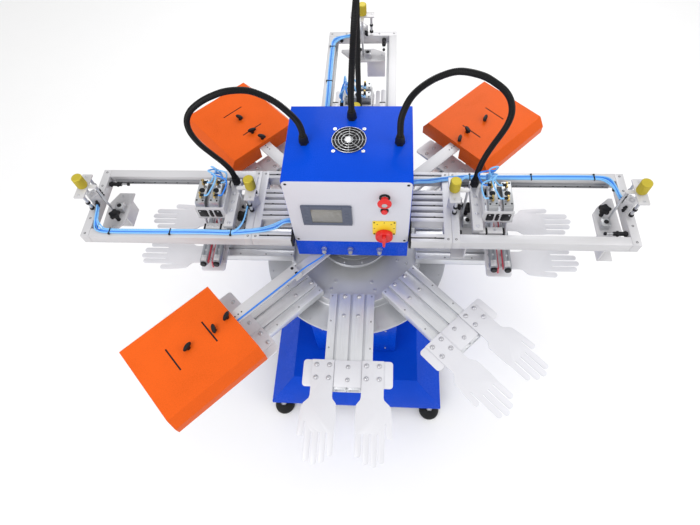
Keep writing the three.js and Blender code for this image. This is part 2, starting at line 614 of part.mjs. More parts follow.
// ---- assembly -----------------------------------------------------------------------------------
const machine = new THREE.Group();
machine.position.y = AXIS_Y;
buildStand(machine);
buildTurntable(machine);
buildCabinet(machine);
for (const [name, degrees] of Object.entries(HEADS)) {
  buildHead(machine, name, degrees);
}
buildDryers(machine);
buildHoses(machine);

export default machine;
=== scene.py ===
"""Rotary glove printing machine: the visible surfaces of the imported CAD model.

Lengths are in millimetres, and are turned into metres when a piece is made. Each head, dryer and
station is drawn in its own radial frame: X (u) runs outward from the machine axis, Y (v) runs
counter-clockwise, and the piece is then turned about the axis.
"""
import json
import math
from collections import namedtuple
from types import SimpleNamespace as Sizes

import bmesh
import bpy
from mathutils import Matrix, Vector

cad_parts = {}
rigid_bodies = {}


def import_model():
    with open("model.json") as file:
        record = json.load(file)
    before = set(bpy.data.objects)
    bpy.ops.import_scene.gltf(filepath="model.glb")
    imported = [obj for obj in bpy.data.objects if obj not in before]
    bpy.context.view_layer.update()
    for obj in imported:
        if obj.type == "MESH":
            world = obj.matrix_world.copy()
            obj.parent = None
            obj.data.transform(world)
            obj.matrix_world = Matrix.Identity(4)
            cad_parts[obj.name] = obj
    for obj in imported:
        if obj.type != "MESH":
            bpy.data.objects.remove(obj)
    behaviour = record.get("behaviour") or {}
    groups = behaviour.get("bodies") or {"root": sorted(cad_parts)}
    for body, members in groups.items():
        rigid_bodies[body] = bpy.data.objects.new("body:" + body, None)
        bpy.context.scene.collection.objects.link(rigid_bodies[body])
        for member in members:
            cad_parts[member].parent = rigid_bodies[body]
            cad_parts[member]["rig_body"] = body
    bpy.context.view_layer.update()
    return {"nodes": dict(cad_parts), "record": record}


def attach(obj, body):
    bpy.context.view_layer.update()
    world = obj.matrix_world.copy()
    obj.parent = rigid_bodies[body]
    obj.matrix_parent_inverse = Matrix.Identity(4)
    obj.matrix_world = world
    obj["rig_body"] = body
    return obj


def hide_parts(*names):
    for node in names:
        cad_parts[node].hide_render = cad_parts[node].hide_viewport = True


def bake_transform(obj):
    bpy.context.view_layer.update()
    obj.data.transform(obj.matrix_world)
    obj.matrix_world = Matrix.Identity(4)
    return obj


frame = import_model()

MM = 0.001
AXIS = Vector((0.0, -0.069, 0.0))
HEADS = {"right": 0, "rear": 90, "left": 180}
DRYERS = {"rear_right": 45, "rear_left": 135, "front_left": 225}
CORNERS = [(-1, -1), (1, -1), (1, 1), (-1, 1)]


# ---- camera ----
def make_camera():
    yaw, pitch, roll = -0.1389, 1.047, -0.1003
    forward = Vector((math.sin(yaw) * math.cos(pitch), math.cos(yaw) * math.cos(pitch), -math.sin(pitch)))
    level = Vector((math.cos(yaw), -math.sin(yaw), 0))
    up = level.cross(forward)
    right = math.cos(roll) * level + math.sin(roll) * up
    top = -math.sin(roll) * level + math.cos(roll) * up
    data = bpy.data.cameras.new("camera")
    data.sensor_width = 36
    data.lens = 25.98
    camera = bpy.data.objects.new("camera", data)
    bpy.context.collection.objects.link(camera)
    turn = Matrix((right, top, -forward)).transposed().to_4x4()
    camera.matrix_world = Matrix.Translation(AXIS + Vector((0.1296, -1.1591, 2.5675))) @ turn
    bpy.context.scene.camera = camera


make_camera()


# ---- procedural finishes ----
def node(tree, kind, inputs, **settings):
    """A shader node; an input is a value, or the output of another node."""
    made = tree.nodes.new(f"ShaderNode{kind}")
    for key, value in settings.items():
        setattr(made, key, value)
    for key, value in inputs.items():
        if isinstance(value, bpy.types.NodeSocket):
            tree.links.new(value, made.inputs[key])
        else:
            made.inputs[key].default_value = value
    return made


def grain(tree, scale, detail=3.0, rings=False):
    """A noise value over the surface; scale stretches it, and rings makes it run round the axis."""
    source = node(tree, "TexCoord", {}).outputs["Object"]
    if rings:
        flat = node(tree, "VectorMath", {0: source, 1: (1, 1, 0)}, operation="MULTIPLY")
        radius = node(tree, "VectorMath", {0: flat.outputs[0]}, operation="LENGTH")
        source = node(tree, "CombineXYZ", {0: radius.outputs["Value"]}).outputs[0]
    mapping = node(tree, "Mapping", {"Vector": source, "Scale": scale})
    noise = node(tree, "TexNoise", {"Vector": mapping.outputs[0], "Scale": 1.0, "Detail": detail})
    return noise.outputs["Fac"]


FINISH = {}


def finish(name, color, rough, metal=0.0, fine=(900, 900, 900), bump=0.1, tone=0.08, rings=False, coat=0.0,
           specular=0.5, soft=0.0):
    """Fine grain for the bump and roughness, and broad soft patches for the colour."""
    material = bpy.data.materials.new(name)
    material.use_nodes = True
    tree = material.node_tree
    small = grain(tree, fine, rings=rings)
    broad = grain(tree, (6, 6, 6), detail=5.0)
    half = node(tree, "Math", {0: small, 1: 0.5}, operation="MULTIPLY")
    mixed = node(tree, "Math", {0: broad, 1: 0.5, 2: half.outputs[0]}, operation="MULTIPLY_ADD").outputs[0]
    ramp = node(tree, "ValToRGB", {"Fac": mixed})
    for stop, position, change in zip(ramp.color_ramp.elements, (0.35, 0.65), (1 - tone, 1 + tone)):
        stop.position = position
        stop.color = [min(1, c * change) for c in color] + [1]
    roughness = node(tree, "MapRange", {"Value": mixed, "From Min": 0.3, "From Max": 0.7,
                                        "To Min": rough - 0.06, "To Max": rough + 0.06})
    relief = node(tree, "Bump", {"Strength": bump, "Distance": 0.0004, "Height": small})
    shader = tree.nodes["Principled BSDF"]
    looks = {"Metallic": metal, "Coat Weight": coat, "Coat Roughness": 0.08, "Specular IOR Level": specular,
             "Subsurface Weight": soft, "Subsurface Scale": 0.004}
    for key, value in looks.items():
        shader.inputs[key].default_value = value
    tree.links.new(ramp.outputs["Color"], shader.inputs["Base Color"])
    tree.links.new(roughness.outputs["Result"], shader.inputs["Roughness"])
    tree.links.new(relief.outputs["Normal"], shader.inputs["Normal"])
    FINISH[name] = material
    return material


finish("blue_paint", (0.002, 0.062, 0.58), 0.26, fine=[260] * 3, bump=0.12, coat=0.04, specular=0.05)
finish("orange_paint", (0.72, 0.105, 0.010), 0.30, fine=[260] * 3, bump=0.12, coat=0.04, specular=0.08)
finish("grey_panel", (0.60, 0.605, 0.665), 0.42, fine=[700] * 3, bump=0.15, tone=0.03)
finish("white_aluminium", (0.59, 0.585, 0.60), 0.40, metal=0.25, fine=(14, 900, 900), bump=0.12, tone=0.05)
finish("brushed_profile", (0.74, 0.75, 0.775), 0.36, metal=0.6, fine=(10, 1400, 1400), bump=0.22, tone=0.12)
finish("pallet_aluminium", (0.70, 0.70, 0.735), 0.46, metal=0.2, fine=[1500] * 3, bump=0.15, tone=0.03)
finish("machined_aluminium", (0.50, 0.51, 0.525), 0.32, metal=0.8, fine=(500, 60, 500), bump=0.15, tone=0.1)
finish("squeegee_aluminium", (0.36, 0.375, 0.405), 0.36, metal=0.75, fine=(900, 14, 900), bump=0.15)
finish("disc_aluminium", (0.60, 0.61, 0.635), 0.40, metal=0.55, fine=(1400, 0, 0), bump=0.3, tone=0.12,
       rings=True)
finish("cast_steel", (0.40, 0.41, 0.43), 0.5, metal=0.4, fine=[350] * 3, bump=0.4)
finish("bearing_steel", (0.62, 0.63, 0.65), 0.3, metal=0.8, fine=(900, 0, 0), bump=0.2, rings=True)
finish("track_steel", (0.30, 0.305, 0.32), 0.34, metal=0.6, fine=(14, 900, 900), bump=0.15)
finish("chrome_wire", (0.60, 0.61, 0.63), 0.2, metal=1.0, bump=0.03, tone=0.04)
finish("bezel_plastic", (0.085, 0.10, 0.145), 0.5, fine=[1800] * 3, bump=0.3)
finish("yellow_plastic", (0.86, 0.62, 0.03), 0.4, tone=0.04)
finish("red_plastic", (0.68, 0.012, 0.012), 0.3, tone=0.05)
finish("black_rubber", (0.010, 0.010, 0.010), 0.62, fine=[700] * 3, bump=0.4, tone=0.3, specular=0.25)
finish("conduit_plastic", (0.005, 0.005, 0.006), 0.46, fine=[500] * 3, tone=0.3, specular=0.2)
finish("knob_yellow", (0.50, 0.40, 0.025), 0.4, metal=0.3, fine=[800] * 3, tone=0.1)
# Black plastic; the same finish also draws the painted shade in slots, grooves, openings and holes.
finish("black_plastic", (0.008, 0.008, 0.010), 0.44, fine=[1200] * 3, tone=0.3, specular=0.25)
finish("polyurethane", (0.50, 0.045, 0.075), 0.35, fine=[400] * 3, soft=0.25)
finish("air_tube", (0.02, 0.20, 0.74), 0.3, fine=[600] * 3, tone=0.06)
finish("clear_tube", (0.20, 0.50, 0.86), 0.22, fine=[600] * 3, tone=0.06)
finish("brass_fitting", (0.62, 0.45, 0.17), 0.28, metal=1.0, tone=0.1)
finish("bolt_steel", (0.60, 0.60, 0.63), 0.3, metal=0.9, fine=[1200] * 3, tone=0.1)
finish("screen_glass", (0.19, 0.185, 0.165), 0.14, fine=[300] * 3, bump=0.02, coat=0.8)

SLOTS_OF_NODES = {part["node"]: part["material_slot"] for part in frame["record"]["subparts"]}
for cad_name, obj in frame["nodes"].items():
    obj.data.materials.clear()
    obj.data.materials.append(FINISH[SLOTS_OF_NODES[cad_name]])


# ---- mesh kit ----
def bevel(part, edges, width, segments):
    bmesh.ops.bevel(part, geom=edges, offset=width, segments=segments, profile=0.5, affect="EDGES",
                    clamp_overlap=True)


def soften(part, width, segments=2):
    """Rounds every sharp edge."""
    if width > 0:
        sharp = [e for e in part.edges if len(e.link_faces) == 2 and e.calc_face_angle(0) > math.radians(25)]
        bevel(part, sharp, width, segments)


def plug(radius, low, high):
    """The profile of a plain solid, for a lathe."""
    return [(0, low), (radius, low), (radius, high), (0, high)]


def across(side, near, far):
    """The lower and the upper end of a span on one side of zero."""
    return sorted((side * near, side * far))


def turned(degrees, at=(0, 0, 0), axis="Z"):
    """Turns a part about an axis through the origin, then moves it."""
    return Matrix.Translation(at) @ Matrix.Rotation(math.radians(degrees), 4, axis)


def pointing(start, end):
    """The matrix that carries the Z axis onto the line from start to end."""
    start, end = Vector(start), Vector(end)
    turn = (end - start).to_track_quat("Z", "Y").to_matrix().to_4x4()
    return Matrix.Translation(start) @ turn


def arc(x, y, radius, start, end, steps):
    """Points on an arc, with its angles in degrees."""
    angles = [math.radians(start + (end - start) * i / steps) for i in range(steps + 1)]
    return [(x + radius * math.cos(a), y + radius * math.sin(a)) for a in angles]


def rounded(x0, x1, y0, y1, r, steps=5):
    return (arc(x1 - r, y0 + r, r, -90, 0, steps) + arc(x1 - r, y1 - r, r, 0, 90, steps)
            + arc(x0 + r, y1 - r, r, 90, 180, steps) + arc(x0 + r, y0 + r, r, 180, 270, steps))


def polar(radius, degrees):
    return radius * math.cos(math.radians(degrees)), radius * math.sin(math.radians(degrees))


def smooth_path(points, step):
    """Points a step apart along a Catmull-Rom curve through the given ones."""
    points = [Vector(p) for p in points]
    padded = [2 * points[0] - points[1], *points, 2 * points[-1] - points[-2]]
    dense = []
    for a, b, c, d in zip(padded, padded[1:], padded[2:], padded[3:]):
        for i in range(24):
            t = i / 24
            dense.append(0.5 * (2 * b + (c - a) * t + (2 * a - 5 * b + 4 * c - d) * t * t
                                + (3 * b - a - 3 * c + d) * t ** 3))
    dense.append(points[-1])
    total = sum((q - p).length for p, q in zip(dense, dense[1:]))
    count = max(2, round(total / step))
    path, walked, i = [dense[0]], 0.0, 0
    for k in range(1, count):
        goal = total * k / count
        while walked + (dense[i + 1] - dense[i]).length < goal:
            walked += (dense[i + 1] - dense[i]).length
            i += 1
        leg = dense[i + 1] - dense[i]
        path.append(dense[i] + leg * ((goal - walked) / leg.length))
    return [*path, dense[-1]]


Spot = namedtuple("Spot", "body tag degrees", defaults=("", 0))


class Kit:
    """Collects softened primitives, in millimetres, for one piece on a body, turned about the axis."""

    def __init__(self, spot=Spot("stand")):
        self.mesh = bmesh.new()
        self.spot = spot

    def add(self, part, place=None):
        if place is not None:
            bmesh.ops.transform(part, matrix=place, verts=part.verts)
        bmesh.ops.recalc_face_normals(part, faces=part.faces)
        held = bpy.data.meshes.new("held")
        part.to_mesh(held)
        part.free()
        self.mesh.from_mesh(held)
        bpy.data.meshes.remove(held)
        return self

    def box(self, x0, x1, y0, y1, z0, z1, edge=0.8, place=None, segments=2):
        part = bmesh.new()
        bmesh.ops.create_cube(part, size=1)
        bmesh.ops.scale(part, vec=(x1 - x0, y1 - y0, z1 - z0), verts=part.verts)
        bmesh.ops.translate(part, vec=((x0 + x1) / 2, (y0 + y1) / 2, (z0 + z1) / 2), verts=part.verts)
        soften(part, edge, segments)
        return self.add(part, place)

    def rod(self, start, end, radius, sides=20, edge=0.4, place=None):
        part = bmesh.new()
        length = (Vector(end) - Vector(start)).length
        bmesh.ops.create_cone(part, cap_ends=True, segments=sides, radius1=radius, radius2=radius,
                              depth=length)
        bmesh.ops.translate(part, vec=(0, 0, length / 2), verts=part.verts)
        if edge > 0:
            rims = [e for e in part.edges if any(len(f.verts) == sides for f in e.link_faces)]
            bevel(part, rims, edge, 1)
        bmesh.ops.transform(part, matrix=pointing(start, end), verts=part.verts)
        return self.add(part, place)

    def lathe(self, profile, at=(0, 0, 0), towards=(0, 0, 1), sides=48, wave=0.0, place=None):
        """Turns (radius, height) points; wave makes a grip with that many lobes of its depth."""
        part = bmesh.new()
        rings = []
        for radius, height in profile:
            if radius < 1e-6:
                rings.append([part.verts.new((0, 0, height))])
                continue
            ring = []
            for i in range(sides):
                angle = 2 * math.pi * i / sides
                reach = radius - (wave if i % 2 else 0.0)
                ring.append(part.verts.new((reach * math.cos(angle), reach * math.sin(angle), height)))
            rings.append(ring)
        for low, high in zip(rings, rings[1:]):
            for i in range(sides):
                j = (i + 1) % sides
                corners = [low[i % len(low)], low[j % len(low)], high[j % len(high)], high[i % len(high)]]
                part.faces.new(list(dict.fromkeys(corners)))
        start = Vector(at)
        bmesh.ops.transform(part, matrix=pointing(start, start + Vector(towards)), verts=part.verts)
        return self.add(part, place)

    def prism(self, outline, z0, z1, edge=0.6, place=None, segments=2):
        part = bmesh.new()
        face = part.faces.new([part.verts.new((x, y, z0)) for x, y in outline])
        grown = bmesh.ops.extrude_face_region(part, geom=[face])
        moved = [v for v in grown["geom"] if isinstance(v, bmesh.types.BMVert)]
        bmesh.ops.translate(part, vec=(0, 0, z1 - z0), verts=moved)
        bmesh.ops.recalc_face_normals(part, faces=part.faces)
        if edge > 0:
            rims = [e for e in part.edges if e.link_faces[0].normal.z * e.link_faces[1].normal.z == 0
                    and abs(e.verts[0].co.z - e.verts[1].co.z) < 1e-6]
            bevel(part, rims, edge, segments)
        return self.add(part, place)

    def along(self, outline, x0, x1, edge=0.5, place=None):
        """An outline drawn as (across, up) and drawn out along X."""
        axes = Matrix(((0, 0, 1, 0), (1, 0, 0, 0), (0, 1, 0, 0), (0, 0, 0, 1)))
        if place is not None:
            axes = place @ axes
        return self.prism(outline, x0, x1, edge, axes)

    def tube(self, path, radius, sides=10, radii=None):
        """A tube on a path of points; radii gives each ring its own radius."""
        part = bmesh.new()
        rings = []
        normal = Vector((0, 0, 1)).cross(path[1] - path[0])
        if normal.length < 1e-6:
            normal = Vector((1, 0, 0))
        for i, point in enumerate(path):
            ahead = path[min(i + 1, len(path) - 1)] - path[max(i - 1, 0)]
            ahead.normalize()
            normal = (normal - ahead * normal.dot(ahead)).normalized()
            side = ahead.cross(normal)
            r = radius if radii is None else radii[i]
            rings.append([part.verts.new(point + r * (math.cos(a) * normal + math.sin(a) * side))
                          for a in (2 * math.pi * k / sides for k in range(sides))])
        for low, high in zip(rings, rings[1:]):
            for k in range(sides):
                part.faces.new((low[k], low[(k + 1) % sides], high[(k + 1) % sides], high[k]))
        part.faces.new(rings[0])
        part.faces.new(rings[-1])
        return self.add(part)

    def button_bolt(self, x, y, z, radius=6.0, height=3.6, place=None, towards=(0, 0, 1)):
        """A button-head screw with a socket, on a thin washer."""
        r, h = radius, height
        socket = 0.42 * r
        profile = [(0, 0), (r * 1.25, 0), (r * 1.25, 0.5), (r, 0.6), (r, 0.3 * h), (0.9 * r, 0.66 * h),
                   (0.66 * r, 0.94 * h), (socket, h), (socket, 0.45 * h), (0, 0.4 * h)]
        return self.lathe(profile, (x, y, z), towards, 18, place=place)

    def cap_screw(self, x, y, z, radius=4.0, height=4.0, place=None, towards=(0, 0, 1)):
        """A cap screw with a round recess in its head."""
        r, h = radius, height
        profile = [(0, 0), (r, 0), (r, h - 0.5), (r - 0.5, h), (0.55 * r, h), (0.5 * r, 0.4 * h),
                   (0, 0.4 * h)]
        return self.lathe(profile, (x, y, z), towards, 12, place=place)

    def piece(self, name, finish_name, replaces="", look=None):
        """Makes the piece. The spot's tag ends its name, and the name of the CAD node it replaces."""
        bmesh.ops.scale(self.mesh, vec=(MM, MM, MM), verts=self.mesh.verts)
        data = bpy.data.meshes.new(name + self.spot.tag)
        self.mesh.to_mesh(data)
        self.mesh.free()
        data.shade_smooth()
        data.set_sharp_from_angle(angle=math.radians(31))
        data.materials.append(FINISH[look or finish_name])
        obj = bpy.data.objects.new(name + self.spot.tag, data)
        bpy.context.collection.objects.link(obj)
        obj.matrix_world = turned(self.spot.degrees, AXIS)
        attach(obj, self.spot.body)
        if replaces:
            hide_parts(replaces + self.spot.tag)
        return obj


# ---- corrugated conduits between the cabinet and the carriages ----
HOSE = Sizes(crest=11.0, root=9.3, pitch=5.0)
CARRIAGE_TOP = 1000
HOSE_ROUTES = {
    "right": [
        (171, 28, 1335), (171, 28, 1404), (184, 31, 1458), (203, 35, 1497), (234, 43, 1527),
        (278, 53, 1550), (335, 66, 1557), (405, 80, 1530), (454, 92, 1491), (492, 100, 1452),
        (519, 106, 1406), (532, 108, 1357), (530, 108, 1308), (517, 106, 1260), (496, 102, 1202),
        (479, 98, 1143), (470, 96, 1085), (468, 96, 1036)],
    "left": [
        (-152, 29, 1335), (-153, 29, 1362), (-161, 31, 1392), (-181, 35, 1422), (-220, 44, 1460),
        (-267, 53, 1485), (-315, 64, 1492), (-382, 78, 1476), (-442, 90, 1445), (-494, 100, 1409),
        (-543, 110, 1362), (-573, 116, 1310), (-579, 117, 1255), (-560, 112, 1201), (-526, 106, 1154),
        (-494, 100, 1114), (-474, 97, 1073), (-468, 96, 1036)],
    "rear": [
        (5, 143, 1335), (6, 144, 1400), (11, 150, 1470), (16, 172, 1540), (20, 215, 1588),
        (22, 278, 1607), (21, 345, 1597), (18, 405, 1560), (15, 448, 1495), (12, 472, 1410),
        (10, 481, 1310), (8, 479, 1210), (8, 471, 1110), (8, 468, 1036)],
}


def gland(kit, x, y, z):
    """A cable gland: hexagon, tapered cap and bend guard, standing on a surface at z."""
    kit.lathe([(17.4, 0), (17.4, 7), (16, 8), (0, 8)], (x, y, z), sides=6)
    kit.lathe([(16, 7), (16.6, 9), (16.6, 18), (15.6, 22), (13.8, 33), (11.6, 34.4), (0, 34.4)], (x, y, z),
              sides=24, wave=0.5)


def conduit(name, route):
    path = smooth_path(route, HOSE.pitch / 2)
    radii = [HOSE.crest if i % 2 else HOSE.root for i in range(len(path))]
    kit = Kit(Spot("stand", f"_{name}")).tube(path, HOSE.crest, 20, radii)
    hose = kit.piece("corrugated_conduit", "conduit_plastic", "conduit")
    world = hose.matrix_world.copy()
    hose.parent = None
    del hose["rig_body"]
    hose.matrix_world = world
    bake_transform(hose)
    foot = Kit(Spot(f"carriage_{name}", f"_{name}"))
    gland(foot, *route[-1][:2], CARRIAGE_TOP)
    foot.piece("carriage_gland", "black_plastic")


for hose_name, hose_route in HOSE_ROUTES.items():
    conduit(hose_name, hose_route)


# ---- stand ----
BASE = Sizes(x=408, y=541, top_x=289, top_y=458, lip=78, skirt=100, top=250, wall=3)
FOOT = Sizes(x=360, y=530)
PEDESTAL = Sizes(x=185, y=320, bottom=250.3, top=560)
COVER = Sizes(low=290, high=520, middle=405, screws=103)
BEARING = Sizes(inner=92, outer=150, bottom=560.3, top=631.7)


def base_housing():
    """A folded sheet-metal skirt with sloping sides, open underneath."""
    b = BASE
    part = bmesh.new()
    levels = [(b.x, b.y, b.lip), (b.x, b.y, b.skirt), (b.top_x, b.top_y, b.top)]
    rings = [[part.verts.new((sx * x, sy * y, z)) for sx, sy in CORNERS] for x, y, z in levels]
    for low, high in zip(rings, rings[1:]):
        for i in range(4):
            j = (i + 1) % 4
            part.faces.new((low[i], low[j], high[j], high[i]))
    part.faces.new(rings[-1])
    soften(part, 5, 4)
    bmesh.ops.recalc_face_normals(part, faces=part.faces)
    bmesh.ops.solidify(part, geom=list(part.faces), thickness=b.wall)
    kit = Kit().add(part)
    for sx, sy in CORNERS:
        kit.box(*across(sx, b.x - 4, b.x - 92), *across(sy, b.y - 4, b.y - 72), b.lip + 0.2, b.lip + 8, 1.5)
    kit.piece("base_skirt", "blue_paint", "base_housing")


def levelling_foot(name, sx, sy):
    spot = Spot("stand", f"_{name}")
    x, y = sx * FOOT.x, sy * FOOT.y
    dome = [(0, 0), (40, 0), (46, 3), (48, 9), (47.6, 17), (45, 26), (40, 34), (32, 40.5), (22, 44.5),
            (17, 46), (0, 46)]
    Kit(spot).lathe(dome, (x, y, 0), sides=48).piece("foot_dome", "black_rubber", "levelling_foot")
    stud = Kit(spot).lathe([(15.6, 46), (16.5, 47), (16.5, 56), (15.6, 57), (0, 57)], (x, y, 0), sides=6)
    thread = [(9.6 if i % 2 else 11, 57 + 1.25 * i) for i in range(17)]
    stud.lathe([(0, 57), *thread, (0, 77.4)], (x, y, 0), sides=20)
    stud.piece("foot_stud", "bolt_steel")


def pedestal():
    p = PEDESTAL
    kit = Kit().box(-p.x, p.x, -p.y, p.y, p.bottom, p.top, 4, segments=4)
    screws = Kit()
    for side in (-1, 1):
        kit.box(-150, 150, *across(side, p.y - 1, p.y + 2), COVER.low, COVER.high, 1.2)
        kit.box(*across(side, p.x - 1, p.x + 2), -260, 260, COVER.low, COVER.high, 1.2)
        for dx, dz in CORNERS:
            z = COVER.middle + dz * COVER.screws
            screws.button_bolt(138 * dx, side * (p.y + 2), z, 4, 2.4, towards=(0, side, 0))
            screws.button_bolt(side * (p.x + 2), 248 * dx, z, 4, 2.4, towards=(side, 0, 0))
        for i in range(5):
            z = 330 + 16 * i
            kit.box(-60, 60, *across(side, p.y, p.y + 6), z, z + 7, 2.5)
    kit.piece("pedestal_shell", "blue_paint", "pedestal")
    screws.piece("pedestal_screws", "bolt_steel")


def bearing_and_column():
    b = BEARING
    ring = Kit().lathe([(b.inner, b.bottom), (b.outer - 1, b.bottom), (b.outer, b.bottom + 1),
                        (b.outer, 592), (b.outer - 3, 594), (b.outer - 3, 598), (b.outer, 600),
                        (b.outer, b.top - 1), (b.outer - 1, b.top), (b.inner, b.top),
                        (b.inner, b.bottom)], sides=96)
    ring.piece("bearing_rings", "bearing_steel", "slewing_bearing")
    column = Kit().lathe([(0, 560.3), (60, 560.3), (60, 764), (151, 764), (152, 765), (152, 779), (151, 780),
                          (128, 780), (127, 777), (122, 777), (121, 780), (62, 780), (60, 782), (60, 823.7),
                          (0, 823.7)], sides=96)
    column.piece("column_and_cap", "machined_aluminium", "centre_column")
    screws = Kit()
    for i in range(12):
        screws.cap_screw(*polar(139.5, 30 * i + 15), 780, 3.6, 3)
    screws.piece("column_cap_screws", "bolt_steel")


base_housing()
for foot_name, (fx, fy) in {"front_left": (-1, -1), "front_right": (1, -1), "rear_left": (-1, 1),
                            "rear_right": (1, 1)}.items():
    levelling_foot(foot_name, fx, fy)
pedestal()
bearing_and_column()


# ---- turntable ----
TABLE = Sizes(radius=393.5, bore=66, bottom=632.3, top=644.5, drum=285, drum_top=699.7)
ARM = Sizes(start=258, end=648, half=90, bottom=700, top=737.3, groove=12, skin=3)
CROSS = Sizes(inner=540, outer=641, half=167, tongue=51, bottom=737.6, top=745.3, corner=12)
HAND = Sizes(centre=93, bottom=745.5, top=750)


def turntable():
    t = TABLE
    disc = [(t.bore, t.bottom), (t.radius - 1.5, t.bottom), (t.radius, t.bottom + 1.5),
            (t.radius, t.top - 1.5), (t.radius - 1.5, t.top), (t.drum + 4, t.top),
            (t.drum, t.top + 3), (t.drum, t.drum_top - 2), (t.drum - 2, t.drum_top),
            (t.bore, t.drum_top), (t.bore, t.bottom)]
    spot = Spot("turntable")
    Kit(spot).lathe(disc, sides=144).piece("index_table", "disc_aluminium", "turntable_disc")
    screws = Kit(spot)
    for i in range(32):
        screws.cap_screw(*polar(378, 11.25 * i + 5.6), t.top, 4.5, 3)
    for i in range(8):
        for radius in (196, 236):
            screws.cap_screw(*polar(radius, 45 * i + 22.5), t.drum_top, 6, 5)
    screws.piece("index_table_screws", "bolt_steel")


def station_arm(number, degrees):
    """A hollow grooved extrusion: lands, groove floors, webs and skins."""
    spot = Spot("turntable", f"_{number}", degrees)
    a = ARM
    s = a.skin
    kit = Kit(spot)
    x = (a.start, a.end)
    kit.box(*x, -a.half, a.half, a.bottom, a.bottom + s, 0.6)
    for y0, y1 in [(-90, -60), (-50, -5), (5, 50), (60, 90)]:
        kit.box(*x, y0, y1, a.top - s, a.top, 0.7)
        for y, inward in ((y0, 1), (y1, -1)):
            kit.box(*x, *sorted((y, y + inward * s)), a.bottom + 1, a.top - 0.8, 0.3)
    for y in (-55, 0, 55):
        kit.box(*x, y - 9, y + 9, a.top - a.groove - s, a.top - a.groove, 0.3)
    for y in (-75, -27.5, 27.5, 75):
        for offset in (-7, 7):
            kit.box(*x, y + offset - 0.7, y + offset + 0.7, a.top - 0.5, a.top + 0.35, 0.2)
    kit.piece("arm_profile", "brushed_profile", "station_arm")
    bolts = Kit(spot)
    for side in (-1, 1):
        bolts.button_bolt(270, 28.5 * side, a.top, 8, 5)
        bolts.button_bolt(354, 28.5 * side, a.top, 7, 3)
    bolts.piece("arm_bolts", "bolt_steel")
    holes = Kit(spot)
    for u in (268, 377, 488):
        for side in (-1, 1):
            holes.cap_screw(u, 79 * side, a.top - 1, 3.2, 1.6)
    holes.piece("arm_screws", "black_plastic")


def finger(root, tip, low, high):
    """Points from just past the root round the tip and back; low and high are the sides across."""
    r = (high - low) / 2
    return [(root + 3, low), *arc(tip - r, low + r, r, -90, 90, 14), (root + 3, high)]


def hand_outline(side):
    """A flat glove shape pointing outward: the wrist, the thumb and the four fingers in turn."""
    outline = [(540, -41), (676, -41), (686, -44), (694, -52), (702, -61), (712, -67), (740, -70.5),
               (767, -72.5), *arc(808, -63.8, 11.2, -90, 90, 14), (780, -52), (772, -51.5), (769, -49.5),
               (772, -47.6)]
    outline += finger(804, 900, -47, -25)
    outline += [(804.5, -24.4), (803.6, -23), (804.5, -21.6)]
    outline += finger(804, 912, -21, 1)
    outline += [(804.6, 1.8), (803.5, 3.5), (804.6, 5.2)]
    outline += finger(804, 904, 6, 28)
    outline += [(804.6, 28.9), (803.4, 31), (804.6, 33.1)]
    outline += finger(804, 882, 34, 55)
    outline += [(790, 57), (770, 58), (712, 58), (703, 56), (695, 50), (687, 43.5), (677, 41), (540, 41)]
    return [(x, side * HAND.centre - side * y) for x, y in outline]


def glove_pallet(number, degrees):
    spot = Spot("turntable", f"_{number}", degrees)
    c = CROSS
    plates = Kit(spot)
    plates.box(c.inner, c.outer, -c.tongue, c.tongue, c.bottom, c.top, 0.8)
    for side in (-1, 1):
        outline = rounded(c.inner, c.outer, 0, c.half - c.tongue - 0.8, c.corner)
        wing = [(x, side * (c.tongue + 0.8 + y)) for x, y in outline]
        plates.prism(wing, c.bottom, c.top - 0.2, 0.8)
        plates.prism(hand_outline(side), HAND.bottom, HAND.top, 0.7)
    plates.piece("pallet_plate", "pallet_aluminium", "glove_pallet")
    bolts = Kit(spot)
    for side in (-1, 1):
        for u in (560, 609):
            for across in (-24, 24):
                bolts.button_bolt(u, side * HAND.centre + across, HAND.top, 8, 5)
    for u in (565, 614):
        bolts.button_bolt(u, 0, c.top, 7, 4.5)
    bolts.piece("pallet_bolts", "bolt_steel")


turntable()
for station in range(8):
    station_arm(station + 1, 45 * station)
    glove_pallet(station + 1, 45 * station)


# ---- control cabinet ----
CABINET = Sizes(x=215, front=-136, back=202, bottom=838, top=1300)
PANEL = Sizes(half=213, low=945, high=1298)
PANEL_FACE = -139.3
FAN = (0, 40)
CONTROL_X = 124
STOP_Z = 1222
START_Z = 1150
ISOLATOR_Z = 1043
DIAL_Z = 1006
PORT_Z = 893


def facing(x, y, z):
    """Places a part drawn flat in XY, with Z towards the viewer, on the front of the cabinet."""
    return turned(90, (x, y, z), "X")


def torus(kit, radius, wire, z, x, y):
    section = arc(radius, z, wire, 0, 360, 10)
    kit.lathe(section, (x, y, 0), sides=64)


